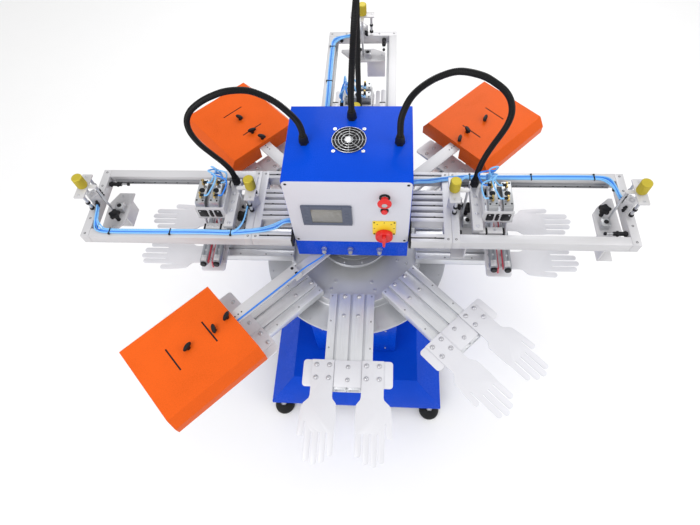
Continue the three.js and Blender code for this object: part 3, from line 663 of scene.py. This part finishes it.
def cabinet_body():
    c = CABINET
    shell = Kit().box(-c.x, c.x, c.front, c.back, c.bottom, c.top, 3, segments=4)
    shell.box(-190, 190, c.back - 1, c.back + 1.8, c.bottom + 170, c.top - 20, 1)
    for row in range(8):
        z = c.top - 120 - 14 * row
        shell.box(-60, 60, c.back, c.back + 6, z, z + 6, 2.4)
        for side in (-1, 1):
            flank = across(side, c.x, c.x + 5)
            shell.box(*flank, 60, 160, z, z + 6, 2.2)
    shell.piece("cabinet_body", "blue_paint", "cabinet_shell")

    glands = Kit()
    for route in HOSE_ROUTES.values():
        gland(glands, *route[0][:2], c.top)
    glands.piece("cabinet_glands", "black_plastic")

    panel = Kit().prism(rounded(-PANEL.half, PANEL.half, PANEL.low, PANEL.high, 14, 8), 0, 3, 1.0,
                        facing(0, PANEL_FACE + 3, 0))
    panel.piece("panel_plate", "grey_panel", "front_panel")
    screws = Kit()
    for side in (-1, 1):
        for z in (PANEL.low + 13, PANEL.high - 12):
            screws.button_bolt(side * (PANEL.half - 13), PANEL_FACE, z, 4, 2.2, towards=(0, -1, 0))
    screws.piece("panel_screws", "black_plastic")
    door = Kit().box(-12, 12, c.back, c.back + 12, 1090, 1130, 3)
    door.rod((172, c.back, 1110), (172, c.back + 10, 1110), 9, 24)
    door.piece("door_latches", "black_plastic")

    fittings = Kit()
    for x in (-108, -6, 107):
        fittings.lathe(plug(11, 0, 7), (x, c.front, PORT_Z), (0, -1, 0), 6)
        fittings.lathe(plug(8, 6, 12), (x, c.front, PORT_Z), (0, -1, 0), 20)
        elbow = (x, c.front - 13, PORT_Z)
        fittings.lathe([(0, -8), (8, -8), (8, 6), (6, 8), (0, 8)], elbow, (0, 0, -1), 20)
        fittings.lathe([(0, 8), (9, 8), (9, 12), (6.5, 14), (6.5, 18), (3.4, 19), (3.4, 14), (0, 14)], elbow,
                       (0, 0, -1), 20)
    fittings.piece("push_in_fittings", "bolt_steel")


def fan():
    x, y = FAN
    top = CABINET.top
    guard = Kit()
    for r in (14, 25, 36, 47, 57.5):
        torus(guard, r, 1.2, top + 3.6, x, y)
    for degrees in (0, 45, 90, 135):
        way = Vector((*polar(1, degrees), 0))
        centre = Vector((x, y, top + 2))
        guard.rod(centre - 57 * way, centre + 57 * way, 1.1, 8, 0.2)
    guard.lathe([(0, 0.4), (13, 0.4), (13, 3.2), (11, 4.6), (0, 4.8)], (x, y, top), sides=32)
    for sx, sy in CORNERS:
        corner = (x + 50 * sx, y + 50 * sy)
        guard.lathe([(2.4, 0.4), (6.5, 0.4), (6.5, 2.2), (2.4, 2.2), (2.4, 0.4)], (*corner, top), sides=20)
        guard.cap_screw(*corner, top + 1, 3.6, 2.6)
    guard.piece("fan_finger_guard", "chrome_wire", "fan_guard")
    dark = Kit().lathe(plug(58, 0.2, 0.8), (x, y, top), sides=48)
    for k in range(7):
        swing = turned(360 / 7 * k, (x, y, top + 1.3))
        blade = swing @ turned(4, axis="X")
        dark.box(16, 53, -11, 11, -0.4, 0.2, 0.1, blade)
    dark.piece("fan_rotor", "black_plastic")


def touch_panel():
    left, right, low, high = -166, 11, 1064, 1176
    depth = 9
    face = facing(0, PANEL_FACE, 0)
    bezel = Kit().prism(rounded(left, right, low, high, 6, 6), 0.2, depth - 2.6, 1.2, face)
    window = (left + 34, right - 34, low + 16, high - 16)
    rim = 2.6
    rims = [(left + 1, window[0], low + 1, high - 1), (window[1], right - 1, low + 1, high - 1),
            (window[0] - rim, window[1] + rim, low + 1, window[2]),
            (window[0] - rim, window[1] + rim, window[3], high - 1)]
    for x0, x1, y0, y1 in rims:
        bezel.box(x0, x1, y0, y1, depth - 4, depth, 1.0, face)
    bezel.piece("touch_panel_bezel", "bezel_plastic", "touch_panel")
    glass = Kit().prism(rounded(window[0] - 1, window[1] + 1, window[2] - 1, window[3] + 1, 2), depth - 3,
                        depth - 2.2, 0.2, face)
    glass.piece("touch_panel_screen", "screen_glass")
    keys = Kit()
    for side_x in (left + 17, right - 17):
        for row in range(4):
            z = low + 26 + 20 * row
            key = rounded(side_x - 7, side_x + 7, z - 5.5, z + 5.5, 2, 4)
            keys.prism(key, depth - 0.4, depth + 0.9, 0.5, face)
    keys.piece("touch_panel_keys", "bezel_plastic")


def on_front(profile, z, sides, body="stand", wave=0.0):
    """A round part of the operator controls, facing the viewer."""
    return Kit(Spot(body)).lathe(profile, (CONTROL_X, PANEL_FACE - 0.3, z), (0, -1, 0), sides, wave)


def operator_controls():
    x = CONTROL_X
    front = PANEL_FACE - 0.3
    mushroom = on_front([(0, 6), (12, 6), (12, 19), (17, 20), (23, 23), (24, 26), (23, 30), (18.5, 33),
                         (10, 34), (10, 33.4), (0, 33.4)], STOP_Z, 48, "emergency_stop")
    mushroom.piece("stop_mushroom", "red_plastic", "emergency_stop")
    cap = on_front([(0, 33.2), (9.4, 33.2), (9.4, 33.9), (0, 34)], STOP_Z, 32, "emergency_stop")
    cap.piece("stop_cap_disc", "machined_aluminium")
    collar = on_front([(13, 0), (18.5, 0), (18.5, 3), (17, 4.2), (13, 4.2), (13, 0)], STOP_Z, 48)
    collar.piece("stop_collar", "black_plastic")
    button = on_front([(0, 4), (10, 4), (11, 5), (11, 10.5), (10, 11.8), (0, 12)], START_Z, 40,
                      "start_button")
    button.piece("start_button_cap", "red_plastic", "start_button")
    ring = on_front([(11.6, 0), (14, 0), (14, 4), (13, 6), (11.6, 6), (11.6, 0)], START_Z, 40)
    ring.piece("start_button_ring", "black_plastic")

    plate = Kit().prism(rounded(x - 42, x + 42, ISOLATOR_Z - 42, ISOLATOR_Z + 42, 5, 6), 0, 3, 0.6,
                        facing(0, front, 0))
    plate.piece("isolator_plate", "yellow_plastic", "switch_plate")
    marks = Kit()
    for degrees in (-90, -45, 0, 45, 90):
        tick = facing(x, front - 3, ISOLATOR_Z) @ turned(degrees)
        marks.box(-1.6, 1.6, 33, 38, 0, 0.4, 0.1, tick)
    for dx, dz in CORNERS:
        marks.button_bolt(x + 36 * dx, front - 3, ISOLATOR_Z + 36 * dz, 2.8, 1.6, towards=(0, -1, 0))
    marks.piece("isolator_marks", "black_plastic")

    dial = on_front([(0, 4), (31, 4), (32, 5), (32, 20), (30.5, 23), (27, 24), (25, 22), (0, 22)], DIAL_Z, 60,
                    "main_switch", wave=0.6)
    outline = [*arc(0, 16, 8, 0, 180, 10), *arc(0, -37, 4.5, 180, 360, 10)]
    dial.prism(outline, 20, 36, 2, facing(x, front, DIAL_Z), segments=3)
    dial.piece("isolator_handle", "red_plastic", "main_switch")


cabinet_body()
fan()
touch_panel()
operator_controls()


# ---- print heads ----
RAIL = Sizes(start=345, joint=373.9, open=403, close=1010, end=1042, inner=128, outer=164, low=946, top=990.5)
BEAM_ROWS = (-146, -53, 0, 53, 146)
TRACK = Sizes(start=425, end=990, v=118, low=956, top=974)
GUIDE_BLOCKS = (1020, 386)
GUIDE_TOP = 1040
SLIDE_V = 104
DAMPER = (-103, 972)
TILT = -9
BLADE_FOOT = 774
CYLINDERS = {"squeegee": 562, "flood_bar": 616}
CYLINDER_TOP = 300
CHEEK = 62
PORT_V = 30
CLAMPS = {
    "outer": Sizes(side=1, edge=RAIL.close, knob=20, rods=12, near=0, far=40, drop=-26, grip=-45, foot=16),
    "inner": Sizes(side=-1, edge=RAIL.open, knob=27, rods=19, near=7, far=47, drop=-22, grip=-41, foot=10),
}


def air_tube(kit, points, radius=2.8):
    kit.tube(smooth_path(points, 7), radius, 10)


def head_frame(name, degrees):
    spot = Spot("stand", f"_{name}", degrees)
    r = RAIL
    start = 202.3 if name == "rear" else 215.3
    rails = Kit(spot)
    heights = (r.low, r.top)
    for side in (-1, 1):
        rails.box(r.open - 1, r.close - 0.5, *across(side, r.inner, r.outer), *heights, 1.4)
    for u0, u1 in ((r.close, r.end), (r.start, r.joint - 0.3), (r.joint + 0.3, r.open)):
        rails.box(u0, u1, -r.outer, r.outer, *heights, 1.4)
    for row in BEAM_ROWS:
        half = 18 if abs(row) > 100 else 20
        rails.box(start + 8, r.start + 1, row - half, row + half, r.low, r.top - 5, 0.8)
        for y0, y1 in ((row - half, row - 3.4), (row + 3.4, row + half)):
            rails.box(start + 8, r.start + 1, y0, y1, r.top - 6, r.top, 0.8)
    for u in GUIDE_BLOCKS:
        rails.prism(rounded(-19, 19, -19, 19, 2, 3), r.top - 1, GUIDE_TOP, 1.2, turned(45, (u, 0, 0)))
    rails.piece("head_rails", "white_aluminium", "head_frame")

    dark = Kit(spot).box(start, start + 10, -r.outer, r.outer, 942, r.top - 2, 1)
    for row in BEAM_ROWS:
        # A thin black strip on the floor of each beam groove is painted shade.
        dark.box(start + 10, r.start, row - 3.3, row + 3.3, r.top - 5.2, r.top - 4.2, 0.2)
        dark.cap_screw(312, row, r.top - 4.5, 5, 3.4)
    for side in (-1, 1):
        for u in (r.open, r.close - 10):
            dark.rod((u, side * SLIDE_V, 968), (u + 10, side * SLIDE_V, 968), 8, 20, 1.5)
    dark.piece("head_dark_parts", "black_plastic")

    tracks = Kit(spot)
    screws = Kit(spot)
    for side in (-1, 1):
        spans = [(r.inner + 0.5, TRACK.v + 4, TRACK.low, TRACK.top),
                 (TRACK.v + 5, TRACK.v, TRACK.low, TRACK.low + 6),
                 (TRACK.v + 5, TRACK.v, TRACK.top - 6, TRACK.top)]
        for v0, v1, z0, z1 in spans:
            tracks.box(TRACK.start, TRACK.end, *across(side, v0, v1), z0, z1, 0.7)
        for i in range(12):
            screws.cap_screw(450 + 47 * i, side * (TRACK.v + 4), 965, 4, 2.4, towards=(0, -side, 0))
    tracks.piece("linear_tracks", "bearing_steel", look="track_steel")
    for u, rows in ((1026, (-150, 150, -80, 80)), (359, (-150, 150)), (388, (-150, 150))):
        for v in rows:
            screws.cap_screw(u, v, r.top - 2.4, 4.5, 2.8)
    screws.piece("head_screws", "black_plastic")

    faces = Kit(spot)
    for u in GUIDE_BLOCKS:
        faces.lathe([(7, 0), (11, 0), (11, 1.4), (7, 1.4), (7, 0)], (u, 0, GUIDE_TOP), sides=32)
        for du, dv in ((19, 0), (0, 19), (-19, 0), (0, -19)):
            faces.cap_screw(u + du, dv, GUIDE_TOP - 1, 3, 2.2)
    faces.piece("guide_block_screws", "bolt_steel")

    v, z = DAMPER
    damper = Kit(spot).rod((1010, v, z), (960, v, z), 8, 24, 0.8)
    for near, far in ((1006, 998), (978, 971)):
        damper.rod((near, v, z), (far, v, z), 11, 6, 0.6)
    damper.lathe([(0, 0), (6, 1), (7, 5), (6, 9), (0, 10)], (936, v, z), (-1, 0, 0), 20)
    damper.piece("shock_absorber", "black_plastic")
    Kit(spot).rod((961, v, z), (934, v, z), 2.8, 14, 0.3).piece("shock_absorber_rod", "chrome_wire")


def head_tubes(name, degrees):
    spot = Spot("stand", f"_{name}", degrees)
    start = 203 if name == "rear" else 216
    tubes = Kit(spot)
    clear = Kit(spot)
    for k in range(4):
        d = 5.4 * (k - 1.5)
        route = [(start, 92 + d, 1012), (start + 34, 98 + d, 1014), (298 - d, 114 + d, 997),
                 (360, 128 + d, 994), (454, 138 + d, 994), (570, 137 + d, 994), (798, 140 + d, 994),
                 (930, 140 + d, 994),
                 (966 + d, 134 + d, 995), (984 + d, 118 + d, 996), (996 + d / 2, 88, 997 + d / 3),
                 (1000 + d / 3, 58, 1000 + d / 2), (1002, 40, 1003 + d), (1004, 24, 1006 + d)]
        air_tube(tubes if k == 2 else clear, route)
        if k > 1:
            air_tube(clear, [(454, 134 + d, 995), (430, 122 + d, 1000), (412, 92 + d, 1004),
                             (404, 60, 1008 + d / 2), (402, 38, 1008 + d), (399, 22, 1008 + d)])
    tubes.piece("air_tubes", "air_tube")
    clear.piece("clear_air_tubes", "air_tube", look="clear_tube")
    ties = Kit(spot)
    for u, v in ((454, 138), (690, 138.5), (928, 140)):
        ties.box(u - 2, u + 2, v - 13, v + 13, 990.6, 998.4, 1)
        ties.box(u - 3.5, u + 3.5, v + 10, v + 16, 991, 999, 1)
    for u, way in ((1003, 1), (400, -1)):
        for z in (1001, 1015):
            ties.rod((u, 32, z), (u + way * 2, 20, z), 5.8, 16, 0.8)
            ties.rod((u + way * 2, 22, z), (u + way * 8, 12, z), 5, 6, 0.8)
            ties.rod((u + way * 3, -14, z + 3), (u - way * 5, -22, z + 3), 5.6, 16, 0.8)
            ties.rod((u - way * 5, -26, z + 3), (u - way * 5, -16, z + 3), 5, 16, 0.8)
    ties.rod((start - 1, 92, 1012), (start + 10, 93, 1012), 15, 24, 2)
    ties.piece("tube_ties", "black_plastic")


def star_knob(kit, x, y, z, radius, height):
    """Five round lobes under a small cap."""
    outline = []
    for lobe in range(5):
        turn = 72 * lobe
        outline += arc(*polar(0.68 * radius, turn), 0.32 * radius, turn - 80, turn + 80, 6)
    kit.prism([(x + px, y + py) for px, py in outline], z, z + height, 2.4, segments=3)
    kit.lathe([(0, 0), (0.42 * radius, 0), (0.42 * radius, 2), (0.3 * radius, 2.6), (0, 2.6)],
              (x, y, z + height - 0.2), sides=24)


def screen_clamp(name, degrees, word):
    """Knob and rods stand on the rail; the shelf hangs in the bay, where the offsets are negative."""
    c = CLAMPS[word]
    spot = Spot(f"screen_clamp_{word}_{name}", f"_{word}_{name}", degrees)

    def at(offset):
        return c.edge + c.side * offset

    def span(low, high):
        return sorted((at(low), at(high)))

    plates = Kit(spot).prism(rounded(*span(c.near, c.far), -57, 57, 3, 4), 1084, 1090, 0.9)
    tongue = [(c.near + 2, -8), *arc(c.drop, 0, 8, 270, 90, 8), (c.near + 2, 8)]
    plates.prism([(at(offset), v) for offset, v in tongue], 1084.2, 1089.8, 0.8)
    shelf = [(20, -52), (14, 110), (-2, 110), (-52, 66), (-75, 34), (-75, -110), (-10, -110)]
    plates.prism([(at(offset), v) for offset, v in shelf], 896, 904, 1)
    plates.box(*span(-44, -38), -110, -20, 784, 900, 1)
    plates.box(*span(-43, c.foot), -110, -20, 784, 790, 1)
    plates.piece("clamp_plates", "white_aluminium", "screen_clamp")

    steel = Kit(spot)
    black = Kit(spot)
    rods, knob, grip = at(c.rods), at(c.knob), at(c.grip)
    for v in (-42, 42):
        steel.rod((rods, v, 1008), (rods, v, 1085), 6, 20, 0.3)
        steel.cap_screw(at(c.far - 18), v * 45 / 42, 1089.4, 4.2, 2.4)
        black.rod((rods, v, 1001), (rods, v, 1012), 9, 24, 1.6)
        black.rod((rods, v, 1034), (rods, v, 1046), 8.4, 24, 2.4)
    steel.rod((knob, 0, 1052), (knob, 0, 1086), 6, 20, 0.6)
    steel.rod((at(c.drop), 0, 900), (at(c.drop), 0, 1086), 4.6, 20, 0.3)
    for v in (-92, 62):
        steel.cap_screw(at(-30), v, 904, 4, 3)
    steel.piece("clamp_rods", "bearing_steel")
    thumb = Kit(spot).lathe([(0, 0), (17, 0), (17, 4), (20, 5), (20, 49), (18.5, 51), (17, 52), (0, 52)],
                            (knob, 0, 1090), sides=72, wave=0.7)
    thumb.piece("clamp_knob", "knob_yellow")
    block = Kit(spot).box(grip - 17, grip + 17, -41, -7, 903, 934, 2.5)
    block.piece("clamp_grip", "machined_aluminium")
    star_knob(black, grip, 27, 938, 24, 12)
    black.rod((grip, 27, 903), (grip, 27, 939), 8, 16, 0.6)
    black.lathe([(0, 0), (9, 0), (9, 2), (6, 3), (0, 3)], (grip, -24, 933.6), sides=24)
    black.piece("clamp_star", "black_plastic")


def tilted(u):
    """The frame of an air cylinder: Z runs up along it, and zero is at the foot of its blade."""
    return turned(TILT, (u, 0, BLADE_FOOT), "Y")


def carriage(name, degrees):
    """A cross-plate on two slides, and two cheeks that hold the tilted air cylinders."""
    spot = Spot(f"carriage_{name}", f"_{name}", degrees)
    gland_side = -1 if name == "left" else 1
    block_v = 66 * gland_side
    light = Kit(spot).box(450, 487, -114, 114, 968, CARRIAGE_TOP, 1.6)
    dark = Kit(spot)
    for side in (-1, 1):
        light.box(475, 498, *across(side, 92, 117), 957, 983, 1)
        light.box(505, 560, *across(side, 90, 117), 957, 984.5, 1.2)
        light.box(488, 598, *across(side, 54, CHEEK), 976, 1039.5, 3)
        for u0, u1 in ((497, 504.6), (560.4, 568)):
            dark.box(u0, u1, *across(side, 91, 117), 957.5, 983.5, 2)
        # Flat dark plates where the cheeks have openings are painted shade; no holes are cut.
        for u0, u1 in ((499, 526), (532, 546), (552, 588)):
            opening = rounded(u0, u1, 986, 1029, 6, 4)
            dark.prism(opening, -0.5, 0.5, 0.2, turned(90, (0, side * CHEEK, 0), "X"))
    light.box(484, 491, -61, 61, 977, 1038, 1.5)
    light.piece("carriage_plates", "white_aluminium", "carriage")
    dark.box(500, 524, block_v - 12, block_v + 12, 984, 1032, 2)

    bodies = Kit(spot)
    brass = Kit(spot)
    steel = Kit(spot)
    top = CYLINDER_TOP
    for u in CYLINDERS.values():
        place = tilted(u)
        bodies.box(-18, 18, -56, 56, 192, top - 4, 2.2, place)
        bodies.box(-17, 17, -54, 54, top - 3.5, top, 0.8, place)
        dark.lathe(plug(11, 0, 1), (0, 0, top), sides=28, place=place)
        for side in (-1, 1):
            bodies.rod((0, side * 34, 186), (0, side * 34, 193), 10, 24, 1, place=place)
            # Thin dark strips on each cylinder's face are painted shade in its slots.
            for v in (16 * side, 44 * side):
                dark.box(18.0, 18.7, v - 4, v + 4, 206, 284, 0.3, place)
            for x in (-11, 11):
                dark.lathe(plug(3.6, 0, 0.7), (x, side * 47, top), sides=16, place=place)
            port = side * PORT_V
            dark.rod((0, port, top + 13), (-14, port, top + 13), 5.6, 16, 0.8, place=place)
            brass.lathe(plug(6, 0, 5), (0, port, top), sides=6, place=place)
            brass.lathe(plug(4.8, 5, 9), (0, port, top), sides=20, place=place)
            brass.lathe([(0, 0), (3, 0), (4.4, 2), (4.4, 9), (3, 11), (0, 11)], (0, port, top + 17), sides=16,
                        place=place)
            steel.cap_screw(0, side * 19, top, 3.4, 4.4, place=place)
    bodies.piece("air_cylinders", "machined_aluminium")
    dark.piece("carriage_dark_parts", "black_plastic")

    for v in (-98, -40, 0, 40, 98):
        if abs(v - 96 * gland_side) > 20 and not (name == "rear" and v == 0):
            steel.button_bolt(468, v, CARRIAGE_TOP, 6, 3.6)
    for side in (-1, 1):
        steel.lathe([(0, 0), (6, 0), (6, 1), (5, 1.6), (0, 1.6)], (532, side * SLIDE_V, 984.4), sides=32)
        for u in (512, 553):
            steel.cap_screw(u, side * SLIDE_V, 984.2, 3, 2)
        for u in (510, 545, 580):
            steel.cap_screw(u, side * CHEEK, 1022, 3.4, 2.6, towards=(0, side, 0))
    brass.piece("cylinder_fittings", "brass_fitting")
    steel.piece("carriage_screws", "bolt_steel")

    tubes = Kit(spot)
    clear = Kit(spot)
    for k, (u, v) in enumerate((u, v) for u in CYLINDERS.values() for v in (-PORT_V, PORT_V)):
        foot = tilted(u) @ Vector((-14, v, top + 13))
        bend = Vector((-30 - 10 * k, 0.3 * (block_v - v), 44 + 8 * k))
        route = [foot, foot + Vector((-18, 0, 6)), foot + bend,
                 (512 + 4 * k, 0.45 * v + 0.55 * block_v, 1128 + 10 * k),
                 (498 + 3 * k, block_v + 8 - 5 * k, 1085 + 4 * k), (512, block_v - 6 + 4 * k, 1031)]
        air_tube(tubes if k == 1 else clear, route, 3.1)
    tubes.piece("cylinder_tube", "air_tube")
    clear.piece("clear_cylinder_tubes", "air_tube", look="clear_tube")


def blade(kind, name, degrees, u):
    """A squeegee or flood bar: extruded holder on two guide rods, with its blade and end knobs."""
    spot = Spot(f"{kind}_{name}", f"_{name}", degrees)
    place = tilted(u)
    top = 48 if kind == "squeegee" else 42
    holder = Kit(spot)
    for side in (-1, 1):
        holder.box(*across(side, 2.5, 15), -168, 168, 17, top, 2, place)
    holder.box(-6, 6, -168, 168, top - 12, top - 2, 1, place)
    holder.box(-10, 10, -60, 60, top - 2, top + 22, 2, place)
    blocks = Kit(spot)
    for v in (-150, 150):
        blocks.box(-11, 11, v - 13, v + 13, top - 1, top + 5, 2, place)
    blocks.piece(f"{kind}_end_blocks", "squeegee_aluminium", look="white_aluminium")
    holder.piece(f"{kind}_holder", "squeegee_aluminium", kind)
    steel = Kit(spot)
    for v in (-34, 34):
        steel.rod((0, v, top + 20), (0, v, 223), 6, 20, 0.5, place=place)
    for v in (-110, -80, 80, 110, -150, 150):
        steel.cap_screw(0, v, top - 2 if abs(v) < 140 else top + 5, 4, 3, place=place)
    if kind == "flood_bar":
        steel.box(-0.9, 0.9, -172, 172, 4, 30, 0.3, place)
    steel.piece(f"{kind}_rods", "bearing_steel")
    ends = Kit(spot)
    for side in (-1, 1):
        ends.lathe([(0, 0), (12, 0), (13, 1.5), (13, 7), (11, 10), (0, 10)], (0, side * 168, 32),
                   (0, side, 0), 24, place=place)
    ends.piece(f"{kind}_ends", "black_plastic")
    half, low, x0, x1 = (172, 2, 12.5, 19) if kind == "squeegee" else (160, 18, -19, -14.5)
    strip = Kit(spot).along([(-half, low), (-half, 40), (half, 40), (half, low)], x0, x1, 0.6, place)
    strip.piece(f"{kind}_strip", "polyurethane")


for head_name, head_degrees in HEADS.items():
    head_frame(head_name, head_degrees)
    head_tubes(head_name, head_degrees)
    for clamp_word in CLAMPS:
        screen_clamp(head_name, head_degrees, clamp_word)
    carriage(head_name, head_degrees)
    for blade_kind, blade_u in CYLINDERS.items():
        blade(blade_kind, head_name, head_degrees, blade_u)


# ---- flash dryers ----
HOOD = Sizes(start=605, end=990, top_half=162, half=191, top=880, shoulder=838, low=800, wall=3)
SPIDER = Sizes(low=824, step=832, under=850, top=858, half=27, hub=130, hub_top=837.7, riser=300, end=900)
SLOTS = (704, 860)
SLOT_ENDS = (-58, 46)
HOOD_KNOBS = [(625, -6, 30), (687, 4, 70), (796, -4, 20)]


def hood(name, degrees):
    """A folded lid with two slots, open below; each slot has a tray under it and a strip of painted shade."""
    spot = Spot("stand", f"_{name}", degrees)
    h = HOOD
    w = h.wall
    shell = Kit(spot)
    slot0, slot1 = SLOT_ENDS
    cuts = [h.start, *(u + d for u in SLOTS for d in (-3, 3)), h.end]
    top = (h.top - w, h.top)
    for u0, u1 in zip(cuts[::2], cuts[1::2]):
        shell.box(u0, u1, -h.top_half, h.top_half, *top, 0)
    for u in SLOTS:
        shell.box(u - 3, u + 3, -h.top_half, slot0, *top, 0)
        shell.box(u - 3, u + 3, slot1, h.top_half, *top, 0)
        shell.box(u - 12, u + 12, slot0 - 6, slot1 + 6, top[0] - 2.5, top[0] + 0.05, 0.4)
    crease, rim, shoulder = h.top_half, h.half, h.shoulder
    for side in (-1, 1):
        bend = [(crease, top[1]), (crease + 2, top[1] - 0.8), (rim - 1.6, shoulder + 3.2),
                (rim - 0.3, shoulder + 0.8), (rim, shoulder - 1.5), (rim, h.low), (rim - w, h.low),
                (rim - w, shoulder - 1.4), (rim - w - 1, shoulder + 1), (crease - 1, top[0] + 0.4),
                (crease - 2, top[0])]
        shell.along([(side * v, z) for v, z in bend], h.start, h.end, 0)
    slit = SPIDER.half + 2
    for u0, u1, notch in ((h.start, h.start + w, True), (h.end - w, h.end, False)):
        outline = [(1 - rim, h.low)]
        if notch:
            outline += [(-slit, h.low), (-slit, SPIDER.top + 1), (slit, SPIDER.top + 1), (slit, h.low)]
        outline += [(rim - 1, h.low), (rim - 1, shoulder - 1), (crease, top[1] - 1), (-crease, top[1] - 1),
                    (1 - rim, shoulder - 1)]
        shell.along(outline, u0 + 0.2, u1 - 0.2, 0.4)
    shell.piece("hood_shell", "orange_paint", "dryer_hood")

    knobs = Kit(spot)
    for u, v, turn in HOOD_KNOBS:
        place = turned(turn, (u, v, h.top))
        knobs.lathe([(0, 0), (8, 0), (7, 8), (0, 8)], sides=20, place=place)
        wing = place @ Matrix.Diagonal((1.0, 0.42, 1.0, 1.0))
        knobs.lathe([(0, 6), (13, 7), (19, 12), (20, 17), (16, 22), (8, 23.5), (0, 23)], sides=32, place=wing)
    # A black strip in each slot, just over its tray, is painted shade.
    for u in SLOTS:
        knobs.box(u - 2.9, u + 2.9, slot0 + 0.1, slot1 - 0.1, h.top - 2.8, h.top - 1.6, 0.2)
    knobs.piece("hood_knobs_and_slot_shade", "black_plastic")
    heater = Kit(spot)
    for v in (-140, -90, 90, 140):
        heater.rod((625, v, 856), (925, v, 856), 7, 20, 1)
        for u in (640, 910):
            heater.box(u - 4, u + 4, v - 10, v + 10, 846, 877, 1)
    heater.piece("heater_tubes", "bearing_steel")


def spider():
    s = SPIDER
    arms = Kit().lathe([(0, s.low), (s.hub - 1, s.low), (s.hub, s.low + 1), (s.hub, s.hub_top - 1),
                        (s.hub - 1, s.hub_top), (0, s.hub_top)], sides=64)
    holes = Kit()
    for degrees in DRYERS.values():
        turn = turned(degrees)
        arms.prism(rounded(100, s.riser + 30, -s.half, s.half, 3, 3), s.low, s.step, 1, turn)
        arms.box(s.riser, s.riser + 30, -s.half, s.half, s.step - 1, s.under + 1, 1, turn)
        arms.prism(rounded(s.riser, s.end, -s.half, s.half, 3, 3), s.under, s.top, 1, turn)
        arms.box(665, 880, -12, 12, s.top - 1, 876.6, 1, turn)
        # Flat black discs on the arms are painted shade standing for holes.
        for u in (570, 585, 600):
            holes.lathe(plug(3, 0, 0.4), (u, 0, s.top), sides=16, place=turn)
        for v in (-14, 14):
            holes.button_bolt(s.riser + 15, v, s.top, 5, 3, place=turn)
    arms.piece("dryer_arms", "white_aluminium", "dryer_support_spider")
    holes.piece("dryer_arm_holes", "black_plastic")
    tube = Kit()
    route = [(-108, -149, 878), (-109, -150, 870), (-114, -156, 864), (-132, -170, 861)]
    for u in (280, 340, 400, 470, 540, 603):
        route.append(turned(DRYERS["front_left"]) @ Vector((u, 20, s.top + 3)))
    air_tube(tube, route, 3)
    tube.piece("dryer_air_tube", "air_tube")


for dryer_name, dryer_degrees in DRYERS.items():
    hood(dryer_name, dryer_degrees)
spider()


# ---- floor and light ----
def studio():
    floor_mesh = bpy.data.meshes.new("floor")
    floor_mesh.from_pydata([(-12, -12, 0), (12, -12, 0), (12, 12, 0), (-12, 12, 0)], [], [(0, 1, 2, 3)])
    floor = bpy.data.objects.new("floor", floor_mesh)
    bpy.context.collection.objects.link(floor)
    floor_mesh.materials.append(finish("floor_paint", (0.95, 0.95, 0.95), 0.7, bump=0.0, tone=0.005))
    for name, place, size, power in [("key", (-1.6, -2.4, 3.6), 2.6, 62), ("fill", (2.8, -0.6, 2.8), 2.4, 24),
                                     ("back", (0.4, 2.9, 3.2), 2.6, 40)]:
        data = bpy.data.lights.new(name, "AREA")
        data.shape = "DISK"
        data.size = size
        data.energy = power
        light = bpy.data.objects.new(name, data)
        light.location = place
        light.rotation_mode = "QUATERNION"
        light.rotation_quaternion = (Vector((0, 0, 0.7)) - Vector(place)).to_track_quat("-Z", "Y")
        bpy.context.collection.objects.link(light)
    world = bpy.data.worlds.new("studio")
    bpy.context.scene.world = world
    world.use_nodes = True
    world.node_tree.nodes["Background"].inputs["Color"].default_value = (1, 1, 1, 1)
    world.node_tree.nodes["Background"].inputs["Strength"].default_value = 0.8
    bpy.context.scene.view_settings.view_transform = "Standard"


studio()
